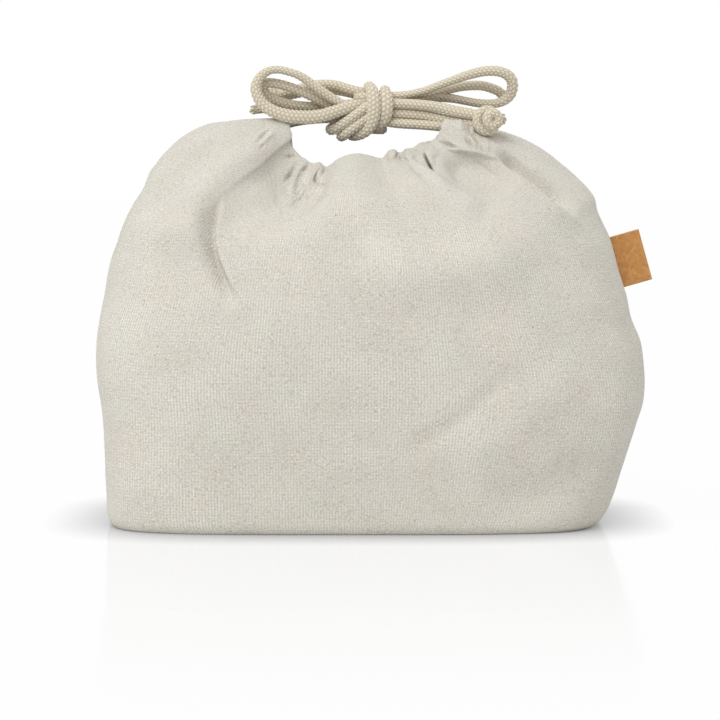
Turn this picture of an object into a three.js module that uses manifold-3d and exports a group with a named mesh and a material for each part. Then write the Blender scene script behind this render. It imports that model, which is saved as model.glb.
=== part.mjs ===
// Drawstring bento bag: a canvas body with a flat base, gathered casings round both sides
// of the mouth, two braided cords tied over the mouth in a double bow, and a cork side label.
// Millimetres, +Z up, front of the bag towards -Y, origin in the middle of the base's underside.

import * as THREE from 'three';
import { mergeVertices } from 'three/addons/utils/BufferGeometryUtils.js';
import Module from 'manifold-3d';

// Driving dimensions: cloth, gaps and cord
const CLOTH = 1.2;
const CLEARANCE = 0.3;
const CORD_DIAMETER = 4.2;
const CASING_SLACK = 0.7;
const CASING_WALL = 2.0;
const TAPE_WIDTH = 5;
const TAPE_THICKNESS = 0.8;
const TAPE_TOP_HEIGHT = 122;
const TAPE_STANDOFF = 1.2;

// Driving dimensions: cork label, folded double, and where it is sewn into the seam
const LABEL_LENGTH = 22;
const LABEL_REACH = 12.5;
const LABEL_THICKNESS = 2;
const LABEL_MIDDLE_HEIGHT = 108.5;
const LABEL_GAP = 0.6;

// Driving dimensions: bow knot and stopper knots
const KNOT_MIDDLE = [6.5, 0, 171.6];
const KNOT_SIZE = [18, 13, 19];
const STOPPER_SIZE = [13, 11, 12.4];
const STOPPER_RING = 8.6;
const STOPPER_RING_TILT = Math.PI / 3;
const LEFT_STOPPER_MIDDLE = [-37.5, 17, 177.1];
const RIGHT_STOPPER_MIDDLE = [55.4, -14.8, 170];

// Driving dimensions: how far the filled body reaches to each side of the middle, and its depth
const LEFT_REACH = 111;
const RIGHT_REACH = 120;
const BODY_DEPTH = 125;

// Outlines from base to mouth: heights, and at each one the share of the way from the mouth's
// edge out to the full reach. Left and right are seen from the front, the middle from the side.
const LEFT_HEIGHTS = [0, 5, 25, 52, 72, 95, 119, 133, 147, 157.5, 163.6];
const LEFT_SHARES = [0.82, 0.875, 0.89, 0.94, 1, 0.927, 0.775, 0.645, 0.48, 0.28, 0.11];
const RIGHT_HEIGHTS = [0, 6, 16, 33, 52, 62, 78, 87, 96, 108, 119, 127, 136, 147, 154, 160];
const RIGHT_SHARES = [
  0.6, 0.71, 0.775, 0.87, 0.98, 1, 0.955, 0.9, 0.863, 0.8, 0.745, 0.68, 0.63, 0.453, 0.296, 0.114,
];
const MIDDLE_HEIGHTS = [0, 5, 30, 60, 85, 108, 135, 147];
const MIDDLE_SHARES = [0.82, 0.88, 0.956, 1, 0.98, 0.87, 0.56, 0.24];

// Corners of the level sections: near square at the base, round at the neck
const BASE_SQUARENESS = 6.6;
const NECK_SQUARENESS = 2.6;
const NECK_START = 0.7;

// Mouth edge between the casings, and each casing's axis from its open end to the side seam,
// as [distance from the middle, half of the depth, height]
const MOUTH_DIPS = {
  front: {
    left: [[0, 21, 152.6], [6, 21, 151.8], [13.6, 20, 149.6], [20, 18.4, 151], [25.4, 16.2, 155.6]],
    right: [[0, 21, 152.6], [9.2, 20.6, 152], [15, 19.4, 155], [25, 16.4, 157.4]],
  },
  back: {
    left: [[0, 21, 148], [12, 20, 148.4], [21, 18, 150], [26.4, 15.6, 155]],
    right: [[0, 21, 148], [12, 20.4, 148.6], [22, 18, 150], [29, 15.4, 155.4]],
  },
};
const LEFT_CASING = [
  [30, 8, 164.4], [40, 8.3, 164.4], [52, 7.6, 164.3], [59, 4.4, 164.1], [61.2, 0, 164.1],
];
const RIGHT_CASING = [
  [33, 8, 164.3], [42, 8.3, 163.3], [50, 7.4, 162.1], [56, 4.4, 161.1], [58.2, 0, 160.7],
];

// Main folds of the cloth below the mouth: how far each stands out of the panel, or sinks into it,
// its width, and its line down the panel as [x, z]
const FOLDS = {
  front: [
    { height: 2.4, width: 10, line: [[-47, 154], [-60, 147], [-66, 136], [-66, 125], [-62, 109]] },
    { height: 4, width: 15, line: [[5, 152], [7, 144], [10, 134], [14, 123], [18, 112]] },
    { height: -4, width: 9, line: [[37, 150], [47, 148], [58, 144], [66, 139]] },
    { height: 2, width: 6, line: [[61, 153], [67, 144], [77, 136], [83, 132]] },
  ],
  back: [
    { height: 3, width: 13, line: [[2, 146], [-2, 128], [-8, 108], [-12, 90]] },
    { height: -2.6, width: 9, line: [[-34, 156], [-46, 144], [-58, 134], [-70, 124]] },
    { height: 1.8, width: 9, line: [[-28, 150], [-36, 136], [-48, 122], [-60, 110]] },
    { height: -2.4, width: 7, line: [[54, 150], [62, 136], [64, 118], [61, 96]] },
  ],
};
const FOLD_END = 0.3;
const FOLD_SEAM_MARGIN = 0.15;

// Cord routes, chosen by hand. Each ends inside the knot or the stopper knot that it meets.
const LEAD_ROUTES = {
  left_lead_front: [
    [-29.6, -8, 164.4], [-24, -7, 164.9], [-17, -4.8, 165.9], [-10, -3, 166.7], [-4, -2.3, 167.1],
    [3, -2, 167.6],
  ],
  left_lead_back: [
    [-29.6, 8, 164.4], [-24, 7, 164.9], [-17, 5, 165.9], [-10, 3.2, 166.7], [-4, 2.5, 167.1],
    [3, 2.3, 167.6],
  ],
  right_lead_front: [
    [32.6, -8, 164.3], [27, -7.6, 165.3], [20, -6.4, 166.8], [14, -5, 167.7], [8, -3.5, 168.6],
  ],
  right_lead_back: [
    [32.5, 8, 164.4], [28, 7, 165.7], [22, 4, 168.7], [16, 1, 170.1], [8, 0.5, 170.6],
  ],
};
const LOOP_ROUTES = {
  left_loop_outer: [
    [3, -5.6, 175.7], [-4.5, -6.8, 176.3], [-12, -8.5, 178.7], [-18.7, -9.5, 183.1],
    [-25, -10, 188.1], [-31.4, -10, 190.5], [-37, -10, 190.5], [-41.6, -10.4, 188.3],
    [-44.4, -10.9, 184.3], [-44.6, -11.5, 180.1], [-42.4, -12.2, 176.6], [-38, -12.9, 174],
    [-31.4, -13.2, 171.5], [-24.2, -12.6, 169.8], [-16.6, -11.4, 169.5], [-10.2, -9.4, 170.9],
    [-4, -7, 172.5], [3, -4.5, 172.1],
  ],
  left_loop_inner: [
    [3, -1, 174.5], [-4, -1.9, 175.3], [-10.5, -3.8, 175.6], [-17.4, -4.8, 178.3],
    [-25, -5.4, 181.8], [-31.4, -5.8, 184], [-36.4, -5.9, 184.3], [-40, -5.6, 182.3],
    [-40.4, -4.9, 179.1], [-37.2, -4, 176.5], [-31.4, -3, 175.3], [-25, -2, 174.5],
    [-16.6, -0.5, 173.9], [-9.6, 1.2, 173.7], [-4, 2.4, 173.5], [3, 2.5, 173.5],
  ],
  right_loop_outer: [
    [9, -1.6, 177.7], [17, -2.1, 179.9], [22, -2.5, 180.5], [28, -3, 182], [36.5, -3, 184.8],
    [47.6, -3, 188.5], [54.6, -3, 189.7], [60, -2.6, 189], [63.8, -1.6, 186.3],
    [65.2, -0.4, 182.3], [64, 0.8, 178.1], [60.4, 1.8, 175.3], [54, 2.6, 174.1], [45, 3.2, 174.1],
    [34, 3.2, 174.6], [24, 3, 174.7], [17, 2.7, 174.4], [9, 1.5, 173.1],
  ],
  right_loop_inner: [
    [9, 3, 176.7], [17, 2.8, 179.3], [24, 2.7, 179.6], [33.6, 3.2, 180.2], [42, 3.8, 181.7],
    [49.4, 4.4, 182.7], [55.2, 5, 182.4], [59, 5.7, 180.4], [59.4, 6.4, 177.7],
    [56.4, 7, 175.9], [49.7, 7.4, 175.7], [40.4, 7.6, 177.1], [32.7, 7.6, 177.9],
    [24, 7.5, 178.3], [17, 7.4, 177.7], [12.4, 6.8, 176.7], [8, 3.4, 173.1],
  ],
};
const TAIL_ROUTES = {
  left_tail_upper: [
    [3, 1.2, 180.1], [-0.5, 1.5, 180.5], [-4.7, 2.6, 181.5], [-9, 4, 182.5], [-13.3, 5.5, 183.1],
    [-17.5, 7, 183.1], [-21.8, 8.5, 182.3], [-26.2, 10.2, 181.3], [-30.5, 12.2, 180.5],
    [-34, 14, 179.5],
  ],
  left_tail_lower: [
    [3, 5, 177.7], [-0.5, 5.6, 178.1], [-4.7, 6.8, 178.7], [-9, 8.6, 179], [-13.3, 10.4, 178.7],
    [-17.6, 12.2, 177.9], [-21.9, 14, 177], [-26.3, 15.8, 176.3], [-30.6, 17.4, 175.9],
    [-34.5, 18.6, 175.5],
  ],
  right_tail_front: [
    [9, -5, 175.1], [17, -6.2, 175.8], [24, -7.6, 176.1], [30, -9, 175.8], [36.5, -10.8, 174.4],
    [43, -12.6, 172.5], [51, -14.6, 170.5],
  ],
  right_tail_back: [
    [9, -1.4, 174.3], [17, -1.9, 174.7], [24, -2.8, 174.3], [30, -4.3, 173.6],
    [36.5, -6.2, 172.3], [43, -8.4, 170.3], [51, -11.4, 168.1],
  ],
};
const WRAP_ROUTES = [
  [
    [6, 2, 164.1], [4, -6, 161.1], [5.4, -9.3, 165.1], [5.9, -9.8, 171.1], [5.2, -9, 177.1],
    [3.8, -5.5, 182.1], [3.6, 2, 183.1], [5, 7, 177.1], [6, 4, 173.1],
  ],
  [
    [9, 2, 166.1], [9.4, -6, 164.5], [10.8, -8.9, 167.1], [11.6, -9.2, 172.1], [11.6, -8.4, 177.1],
    [10.6, -5, 181.5], [10.4, 2, 182.3], [10, 7, 176.1], [9, 4, 172.1],
  ],
  [
    [4, 3, 164.1], [-4, 2, 160.9], [-10.4, -1.4, 160.7], [-12, -5, 162.3], [-9.8, -7.5, 164.3],
    [-4.4, -8.8, 167.9], [2, -7.5, 171.1],
  ],
  [
    [6, 3, 163.1], [-1, 2, 160.3], [-6.4, -1.6, 159.5], [-8.4, -5.5, 160.3], [-6.6, -8, 161.5],
    [-1.5, -9.4, 165.1], [4, -7.5, 168.1],
  ],
];

// Mesh fineness
const CORD_SIDES = 8;
const CASING_SIDES = 12;
const CASING_STEPS = 14;
const PANEL_COLUMNS = 28;
const FOLD_STEPS = 24;
const PANEL_ROWS = [
  0, 0.03, 0.1, 0.2, 0.3, 0.4, 0.5, 0.58, 0.65, 0.71, 0.77, 0.82, 0.87, 0.92, 0.96, 1,
];
const KNOT_SEGMENTS = 14;
const WRAP_STEPS = 12;
const LOOP_STEPS = 32;
const TAIL_STEPS = 7;
const LEAD_STEPS = 5;
const MERGE_DISTANCE = 1e-4;
const SEAM_SEARCH_STEP = 1e-6;
const NORMAL_STEP = 1e-3;

// Derived sizes
const CORD_RADIUS = CORD_DIAMETER / 2;
const CASING_BORE_RADIUS = CORD_RADIUS + CASING_SLACK;
const CASING_RADIUS = CASING_BORE_RADIUS + CASING_WALL;
const CASING_STANDOFF = CASING_RADIUS + CLEARANCE + CLOTH / 2;

const wasm = await Module();
wasm.setup();

const lerp = THREE.MathUtils.lerp;
const smoothstep = THREE.MathUtils.smoothstep;
const bag = new THREE.Group();

const canvas = new THREE.MeshStandardMaterial({ color: 0xd6d1c7, roughness: 0.95, metalness: 0 });
const tapeCotton = new THREE.MeshStandardMaterial({ color: 0xdcd7cc, roughness: 0.95, metalness: 0 });
const cordCotton = new THREE.MeshStandardMaterial({ color: 0xd3ccbd, roughness: 0.9, metalness: 0 });
const cork = new THREE.MeshStandardMaterial({ color: 0xb98549, roughness: 0.8, metalness: 0 });

function addPiece(name, geometry, material) {
  const mesh = new THREE.Mesh(geometry, material);
  mesh.name = name;
  bag.add(mesh);
}

// Solids for joining and cutting

function toSolid(geometry) {
  geometry.deleteAttribute('normal');
  geometry.deleteAttribute('uv');
  const merged = mergeVertices(geometry, MERGE_DISTANCE);
  const vertProperties = new Float32Array(merged.attributes.position.array);
  const triVerts = new Uint32Array(merged.index.array);
  return new wasm.Manifold(new wasm.Mesh({ numProp: 3, vertProperties, triVerts }));
}

function toGeometry(solid) {
  const mesh = solid.getMesh();
  const geometry = new THREE.BufferGeometry();
  geometry.setAttribute('position', new THREE.BufferAttribute(mesh.vertProperties, 3));
  geometry.setIndex(new THREE.BufferAttribute(mesh.triVerts, 1));
  return geometry;
}

// Round sections and tubes

function circle(radius, sides) {
  const points = [];
  for (let i = 0; i < sides; i += 1) {
    const angle = (i / sides) * 2 * Math.PI;
    points.push(new THREE.Vector2(radius * Math.cos(angle), radius * Math.sin(angle)));
  }
  return points;
}

function curveThrough(points) {
  return new THREE.CatmullRomCurve3(points.map((point) => new THREE.Vector3(...point)));
}

function tube(points, radius, steps) {
  const section = new THREE.Shape(circle(radius, CORD_SIDES));
  const settings = { steps, bevelEnabled: false, extrudePath: curveThrough(points) };
  return new THREE.ExtrudeGeometry(section, settings);
}

// A cloth sheet of even thickness: pointAt gives the middle of the cloth for u across and v up.
// Its free edges stay level at the base and square at the side seams.

function sheetNormal(pointAt, u, v) {
  const right = pointAt(Math.min(1, u + NORMAL_STEP), v);
  const left = pointAt(Math.max(-1, u - NORMAL_STEP), v);
  const above = pointAt(u, Math.min(1, v + NORMAL_STEP));
  const below = pointAt(u, Math.max(0, v - NORMAL_STEP));
  return right.sub(left).cross(above.sub(below)).normalize();
}

function clothSheet(pointAt, columns, rows, thickness) {
  const outer = [];
  const inner = [];
  for (const v of rows) {
    for (const u of columns) {
      const normal = sheetNormal(pointAt, u, v);
      if (Math.abs(u) === 1) normal.y = 0;
      if (v === 0) normal.z = 0;
      normal.setLength(thickness / 2);
      const middle = pointAt(u, v);
      outer.push(middle.clone().add(normal));
      inner.push(middle.clone().sub(normal));
    }
  }
  return sheetGeometry(outer, inner, columns.length, rows.length);
}

function sheetGeometry(outer, inner, width, height) {
  const offset = outer.length;
  const index = [];
  const quad = (a, b, c, d) => index.push(a, b, c, a, c, d);
  for (let j = 0; j < height - 1; j += 1) {
    for (let i = 0; i < width - 1; i += 1) {
      const a = j * width + i;
      quad(a, a + 1, a + width + 1, a + width);
      quad(a + offset, a + offset + width, a + offset + width + 1, a + offset + 1);
    }
  }
  const edge = (a, b) => quad(a, a + offset, b + offset, b);
  for (let i = 0; i < width - 1; i += 1) {
    edge(i, i + 1);
    edge((height - 1) * width + i + 1, (height - 1) * width + i);
  }
  for (let j = 0; j < height - 1; j += 1) {
    edge((j + 1) * width, j * width);
    edge(j * width + width - 1, (j + 1) * width + width - 1);
  }
  const geometry = new THREE.BufferGeometry().setFromPoints([...outer, ...inner]);
  geometry.setIndex(index);
  return geometry;
}

// Canvas body

function outlineCurve(heights, shares, reach, mouth) {
  const [mouthDistance, mouthHeight] = mouth;
  const points = heights.map(
    (height, i) => new THREE.Vector2(lerp(mouthDistance, reach, shares[i]), height),
  );
  return new THREE.SplineCurve([...points, new THREE.Vector2(mouthDistance, mouthHeight)]);
}

// The cloth meets each casing along its outer side, so the mouth edge follows the casing's axis
// at the standoff of tube and cloth.
function mouthEdge(casing, dip) {
  const axis = curveThrough(casing);
  const besideCasing = casing.map((point, i) => {
    const tangent = axis.getTangent(i / (casing.length - 1));
    const outward = new THREE.Vector3(-tangent.y, tangent.x, 0).setLength(CASING_STANDOFF);
    return new THREE.Vector3(...point).add(outward).toArray();
  });
  besideCasing[casing.length - 1][1] = 0;
  return curveThrough([...dip, ...besideCasing]);
}

const mouthEdges = {};
for (const [faceName, dips] of Object.entries(MOUTH_DIPS)) {
  mouthEdges[faceName] = {
    left: mouthEdge(LEFT_CASING, dips.left),
    right: mouthEdge(RIGHT_CASING, dips.right),
  };
}

function seamEnd(casing) {
  const [x, , z] = casing[casing.length - 1];
  return [x + CASING_STANDOFF, z];
}

const seams = {
  left: outlineCurve(LEFT_HEIGHTS, LEFT_SHARES, LEFT_REACH, seamEnd(LEFT_CASING)),
  right: outlineCurve(RIGHT_HEIGHTS, RIGHT_SHARES, RIGHT_REACH, seamEnd(RIGHT_CASING)),
};
const middleLines = {};
for (const [faceName, dips] of Object.entries(MOUTH_DIPS)) {
  const mouthMiddle = dips.left[0].slice(1);
  middleLines[faceName] = outlineCurve(MIDDLE_HEIGHTS, MIDDLE_SHARES, BODY_DEPTH / 2, mouthMiddle);
}

// A point in the middle of the cloth: facing is -1 for the front panel and 1 for the back,
// u runs from the left seam at -1 to the right seam at 1, v from the base to the mouth.
function bodyPoint(facing, u, v) {
  const faceName = facing < 0 ? 'front' : 'back';
  const sideName = u < 0 ? 'left' : 'right';
  const turn = (Math.abs(u) * Math.PI) / 2;
  const side = seams[sideName].getPointAt(v);
  const middle = middleLines[faceName].getPointAt(v);
  const square = lerp(BASE_SQUARENESS, NECK_SQUARENESS, smoothstep(v, 0, NECK_START));
  const swell = (Math.sin(turn) ** square + Math.cos(turn) ** square) ** (-1 / square);
  const gather = smoothstep(v, NECK_START, 1);
  const mouth = mouthEdges[faceName][sideName];
  const edge = mouth.getPointAt(Math.abs(u));
  const edgeAtSeam = mouth.getPointAt(1);
  const edgeInMiddle = mouth.getPointAt(0);
  const sag = Math.cos(turn) ** 2;
  const x = side.x * lerp(swell * Math.sin(turn), edge.x / edgeAtSeam.x, gather);
  const y = middle.x * lerp(swell * Math.max(0, Math.cos(turn)), edge.y / edgeInMiddle.y, gather);
  const drop = edge.z - lerp(edgeAtSeam.z, edgeInMiddle.z, sag);
  const z = lerp(side.y, middle.y, sag) + gather * drop;
  return new THREE.Vector3(Math.sign(u) * x, facing * (y + CLEARANCE / 2), z);
}

// Each fold is highest along its line, fades towards both ends and is gone at the side seams.
function foldHeight(folds, point, u) {
  let total = 0;
  for (const { height, width, line } of folds) {
    const curve = new THREE.SplineCurve(line.map((step) => new THREE.Vector2(...step)));
    const steps = curve.getPoints(FOLD_STEPS);
    const gaps = steps.map((step) => Math.hypot(point.x - step.x, point.z - step.y));
    const gap = Math.min(...gaps);
    const share = gaps.indexOf(gap) / FOLD_STEPS;
    const fade = smoothstep(share, 0, FOLD_END) * smoothstep(1 - share, 0, FOLD_END);
    total += height * fade * Math.exp(-((gap / width) ** 2));
  }
  return total * smoothstep(1 - Math.abs(u), 0, FOLD_SEAM_MARGIN);
}

function withFolds(smoothAt, folds) {
  return (u, v) => {
    const point = smoothAt(u, v);
    return point.addScaledVector(sheetNormal(smoothAt, u, v), foldHeight(folds, point, u));
  };
}

const panelColumns = [];
for (let i = 0; i <= PANEL_COLUMNS; i += 1) {
  panelColumns.push((2 * i) / PANEL_COLUMNS - 1);
}

const frontCloth = withFolds((u, v) => bodyPoint(-1, u, v), FOLDS.front);
const backCloth = withFolds((u, v) => bodyPoint(1, -u, v), FOLDS.back);
addPiece('front_panel', clothSheet(frontCloth, panelColumns, PANEL_ROWS, CLOTH), canvas);
addPiece('back_panel', clothSheet(backCloth, panelColumns, PANEL_ROWS, CLOTH), canvas);

// The base lies inside the panels' cloth. Its inset is measured towards the middle, so it is
// doubled to keep the clearance at the slanting corners too.
function basePanel() {
  const inset = 2 * (CLOTH / 2 + CLEARANCE);
  const outline = [];
  for (const facing of [-1, 1]) {
    for (const u of panelColumns.slice(0, -1)) {
      const point = bodyPoint(facing, -facing * u, 0);
      const outward = new THREE.Vector2(point.x, point.y).normalize();
      outline.push(new THREE.Vector2(point.x, point.y).addScaledVector(outward, -inset));
    }
  }
  const settings = { depth: CLOTH, steps: 1, bevelEnabled: false };
  return new THREE.ExtrudeGeometry(new THREE.Shape(outline), settings);
}

addPiece('base_panel', basePanel(), canvas);

// Bound seam allowances inside the side seams

function seamShare(seam, height) {
  let low = 0;
  let high = 1;
  while (high - low > SEAM_SEARCH_STEP) {
    const middle = (low + high) / 2;
    if (seam.getPointAt(middle).y < height) low = middle;
    else high = middle;
  }
  return low;
}

// Directions along a seam and out of it, both seen from the front
function seamFrame(seam, share) {
  const along = seam.getTangentAt(share);
  return { point: seam.getPointAt(share), along, outward: new THREE.Vector2(along.y, -along.x) };
}

function seamTape(seam, sign) {
  const start = seamShare(seam, CLOTH + TAPE_STANDOFF);
  const end = seamShare(seam, TAPE_TOP_HEIGHT);
  const inset = CLOTH / 2 + TAPE_STANDOFF + TAPE_THICKNESS / 2;
  const pointAt = (u, v) => {
    const { point, outward } = seamFrame(seam, lerp(start, end, v));
    const x = point.x - inset * outward.x;
    return new THREE.Vector3(sign * x, (sign * u * TAPE_WIDTH) / 2, point.y - inset * outward.y);
  };
  return clothSheet(pointAt, [-1, 1], PANEL_ROWS, TAPE_THICKNESS);
}

addPiece('left_seam_tape', seamTape(seams.left, -1), tapeCotton);
addPiece('right_seam_tape', seamTape(seams.right, 1), tapeCotton);

// Gathered casings and the cords that they hold

function casingPath(casing, sign) {
  const front = casing.map(([x, y, z]) => [sign * x, -y, z]);
  const back = casing.map(([x, y, z]) => [sign * x, y, z]).reverse().slice(1);
  return [...front, ...back];
}

function casingTube(path) {
  const section = new THREE.Shape(circle(CASING_RADIUS, CASING_SIDES));
  section.holes.push(new THREE.Path(circle(CASING_BORE_RADIUS, CASING_SIDES)));
  const settings = { steps: CASING_STEPS, bevelEnabled: false, extrudePath: curveThrough(path) };
  return new THREE.ExtrudeGeometry(section, settings);
}

for (const [name, casing, sign] of [['left', LEFT_CASING, -1], ['right', RIGHT_CASING, 1]]) {
  const path = casingPath(casing, sign);
  addPiece(`${name}_casing`, casingTube(path), canvas);
  addPiece(`${name}_cord_in_casing`, tube(path, CORD_RADIUS, CASING_STEPS), cordCotton);
}

// Knots: extra is how far the surface is grown, for cutting the strands that meet it

function ellipsoid(middle, size, extra) {
  const geometry = new THREE.SphereGeometry(1, KNOT_SEGMENTS, KNOT_SEGMENTS / 2);
  geometry.scale(...size.map((length) => length / 2 + extra));
  geometry.translate(...middle);
  return toSolid(geometry);
}

function bowKnot(extra) {
  let solid = ellipsoid(KNOT_MIDDLE, KNOT_SIZE, extra);
  for (const route of WRAP_ROUTES) {
    solid = solid.add(toSolid(tube(route, CORD_RADIUS + extra, WRAP_STEPS)));
  }
  return solid;
}

function stopperKnot(middle, extra) {
  const ring = new THREE.TorusGeometry(STOPPER_RING / 2, CORD_RADIUS + extra, CORD_SIDES, KNOT_SEGMENTS);
  ring.rotateX(STOPPER_RING_TILT);
  ring.translate(...middle);
  return ellipsoid(middle, STOPPER_SIZE, extra).add(toSolid(ring));
}

const stoppers = { left: LEFT_STOPPER_MIDDLE, right: RIGHT_STOPPER_MIDDLE };
const knotRoom = bowKnot(CLEARANCE);

addPiece('bow_knot', toGeometry(bowKnot(0)), cordCotton);
for (const [name, middle] of Object.entries(stoppers)) {
  addPiece(`${name}_stopper_knot`, toGeometry(stopperKnot(middle, 0)), cordCotton);
}

// Free strands, cut clear of the knots that they run into

for (const [name, route] of Object.entries(LEAD_ROUTES)) {
  addPiece(name, toGeometry(toSolid(tube(route, CORD_RADIUS, LEAD_STEPS)).subtract(knotRoom)), cordCotton);
}
for (const [name, route] of Object.entries(LOOP_ROUTES)) {
  addPiece(name, toGeometry(toSolid(tube(route, CORD_RADIUS, LOOP_STEPS)).subtract(knotRoom)), cordCotton);
}
for (const [name, route] of Object.entries(TAIL_ROUTES)) {
  const stopperRoom = stopperKnot(stoppers[name.split('_')[0]], CLEARANCE);
  const strand = toSolid(tube(route, CORD_RADIUS, TAIL_STEPS)).subtract(knotRoom).subtract(stopperRoom);
  addPiece(name, toGeometry(strand), cordCotton);
}

// Folded cork label: a flat strip with a round fold outside and a round hinge edge at the seam

function corkLabel() {
  const half = LABEL_THICKNESS / 2;
  const section = new THREE.Shape();
  section.absarc(0, 0, half, Math.PI / 2, 1.5 * Math.PI, false);
  section.absarc(LABEL_REACH - LABEL_THICKNESS, 0, half, -Math.PI / 2, Math.PI / 2, false);
  const strip = new THREE.ExtrudeGeometry(section, {
    depth: LABEL_LENGTH, steps: 1, bevelEnabled: false, curveSegments: CORD_SIDES / 2,
  });
  strip.translate(0, 0, -LABEL_LENGTH / 2);
  const { point, outward } = seamFrame(seams.right, seamShare(seams.right, LABEL_MIDDLE_HEIGHT));
  const standoff = CLOTH / 2 + LABEL_GAP + half;
  strip.rotateY(-Math.atan2(outward.y, outward.x));
  strip.translate(point.x + standoff * outward.x, 0, point.y + standoff * outward.y);
  return strip;
}

addPiece('cork_label', corkLabel(), cork);

export default bag;
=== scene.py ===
# %% [markdown]
# # A canvas bento bag with a double bow
# The real bag is two panels of unbleached cotton canvas and a flat base. Its mouth is drawn
# in by two braided cords that run in casings and are tied in a double bow. A folded strip of
# cork is sewn into the right side seam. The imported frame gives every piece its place, and this
# lesson replaces the plain soft solids with cloth, braid and cork that can be looked at closely.

# %% Load the frame
import math

import bpy
import numpy as np
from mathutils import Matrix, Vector, noise


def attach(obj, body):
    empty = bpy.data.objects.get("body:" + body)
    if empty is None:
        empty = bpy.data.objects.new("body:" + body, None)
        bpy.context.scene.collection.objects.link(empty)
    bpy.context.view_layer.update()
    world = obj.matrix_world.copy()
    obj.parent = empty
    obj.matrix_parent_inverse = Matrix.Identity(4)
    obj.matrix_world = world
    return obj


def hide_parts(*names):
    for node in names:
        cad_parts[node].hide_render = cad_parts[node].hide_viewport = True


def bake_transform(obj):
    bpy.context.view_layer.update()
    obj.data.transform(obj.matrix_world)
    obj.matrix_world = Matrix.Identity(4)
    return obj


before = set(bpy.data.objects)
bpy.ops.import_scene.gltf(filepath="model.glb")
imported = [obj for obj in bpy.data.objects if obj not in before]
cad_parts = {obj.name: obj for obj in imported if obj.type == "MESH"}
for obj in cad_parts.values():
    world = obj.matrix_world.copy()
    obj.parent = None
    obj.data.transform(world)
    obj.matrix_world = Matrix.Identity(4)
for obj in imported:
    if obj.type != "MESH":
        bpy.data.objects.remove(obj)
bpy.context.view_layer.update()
scene = bpy.context.scene
MM = 0.001

# %% [markdown]
# ## Camera
# The bag was seen from a little above, with a long lens: its sides hardly narrow with depth.
# A 150 mm lens on a 36 mm sensor at 1.275 m shows 306 mm across at the bag's middle plane.

# %% Camera
CAMERA_LENS = 150.0
CAMERA_SENSOR = 36.0
CAMERA_DISTANCE = 1.275
CAMERA_ELEVATION = math.radians(5.0)
CAMERA_TARGET = Vector((0.0004, 0.0, 0.067))

camera = bpy.data.objects.new("camera", bpy.data.cameras.new("camera"))
scene.collection.objects.link(camera)
camera.data.lens = CAMERA_LENS
camera.data.sensor_width = CAMERA_SENSOR
camera_back = Vector((0.0, -math.cos(CAMERA_ELEVATION), math.sin(CAMERA_ELEVATION)))
camera.location = CAMERA_TARGET + CAMERA_DISTANCE * camera_back
camera.rotation_euler = camera_back.to_track_quat("Z", "Y").to_euler()
scene.camera = camera
print("camera at", [round(v, 3) for v in camera.location])

# %% [markdown]
# ## Colours and nodes
# Colours are written as sRGB hex values, as a colour picker shows them, and shaders work in
# linear light, so one function turns the first into the second. A second one adds a node, sets
# its options and fills its inputs with values or with links. A third starts a material, and a
# fourth tells what the camera sees from what only lights the scene.

# %% Helpers for materials
def linear(hex_colour, alpha=1.0):
    channels = [int(hex_colour[i:i + 2], 16) / 255 for i in (1, 3, 5)]
    return (*[c / 12.92 if c <= 0.04045 else ((c + 0.055) / 1.055) ** 2.4 for c in channels], alpha)


def add_node(tree, kind, inputs=None, **settings):
    made = tree.nodes.new(kind)
    for key, value in settings.items():
        setattr(made, key, value)
    for key, value in (inputs or {}).items():
        if isinstance(value, bpy.types.NodeSocket):
            tree.links.new(value, made.inputs[key])
        else:
            made.inputs[key].default_value = value
    return made


def new_material(name, roughness, gloss, sheen=0.0):
    """A material, its node tree and its main shader."""
    material = bpy.data.materials.new(name)
    material.use_nodes = True
    tree = material.node_tree
    shader = tree.nodes["Principled BSDF"]
    shader.inputs["Roughness"].default_value = roughness
    shader.inputs["Specular IOR Level"].default_value = gloss
    shader.inputs["Sheen Weight"].default_value = sheen
    return material, tree, shader


def seen_directly(tree):
    """1 for what the camera sees, also in a gloss or through glass, and 0 for light on other things."""
    rays = add_node(tree, "ShaderNodeLightPath")
    seen = add_node(tree, "ShaderNodeMath", {
        0: rays.outputs["Is Camera Ray"], 1: rays.outputs["Is Glossy Ray"]}, operation="MAXIMUM")
    return add_node(tree, "ShaderNodeMath", {
        0: seen.outputs[0], 1: rays.outputs["Is Transmission Ray"]}, operation="MAXIMUM").outputs[0]


print("canvas hex #d8d3c9 is linear", [round(v, 3) for v in linear("#d8d3c9")])

# %% [markdown]
# ## Material: braided cotton cord
# The cord is a round braid of undyed cotton yarn, softly spun and matt. The eye sees rows of
# pale stitches where yarn lies on top, with darker gaps between them. The braid itself is in
# the mesh, and the material paints shade into its gaps and highlight onto its tops from the
# height of each point in the braid, which the mesh keeps as the attribute crest. It also draws
# the fine fibres of the yarn.

# %% Cord material
# Painted shade for the braid's gaps, the yarn's own tone, painted highlight for the stitch tops
CORD_GAP_SHADE, CORD_YARN, CORD_TOP_HIGHLIGHT = "#b5a992", "#d0c7b3", "#e8e0ce"
FIBRE_MM = 0.35

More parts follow.
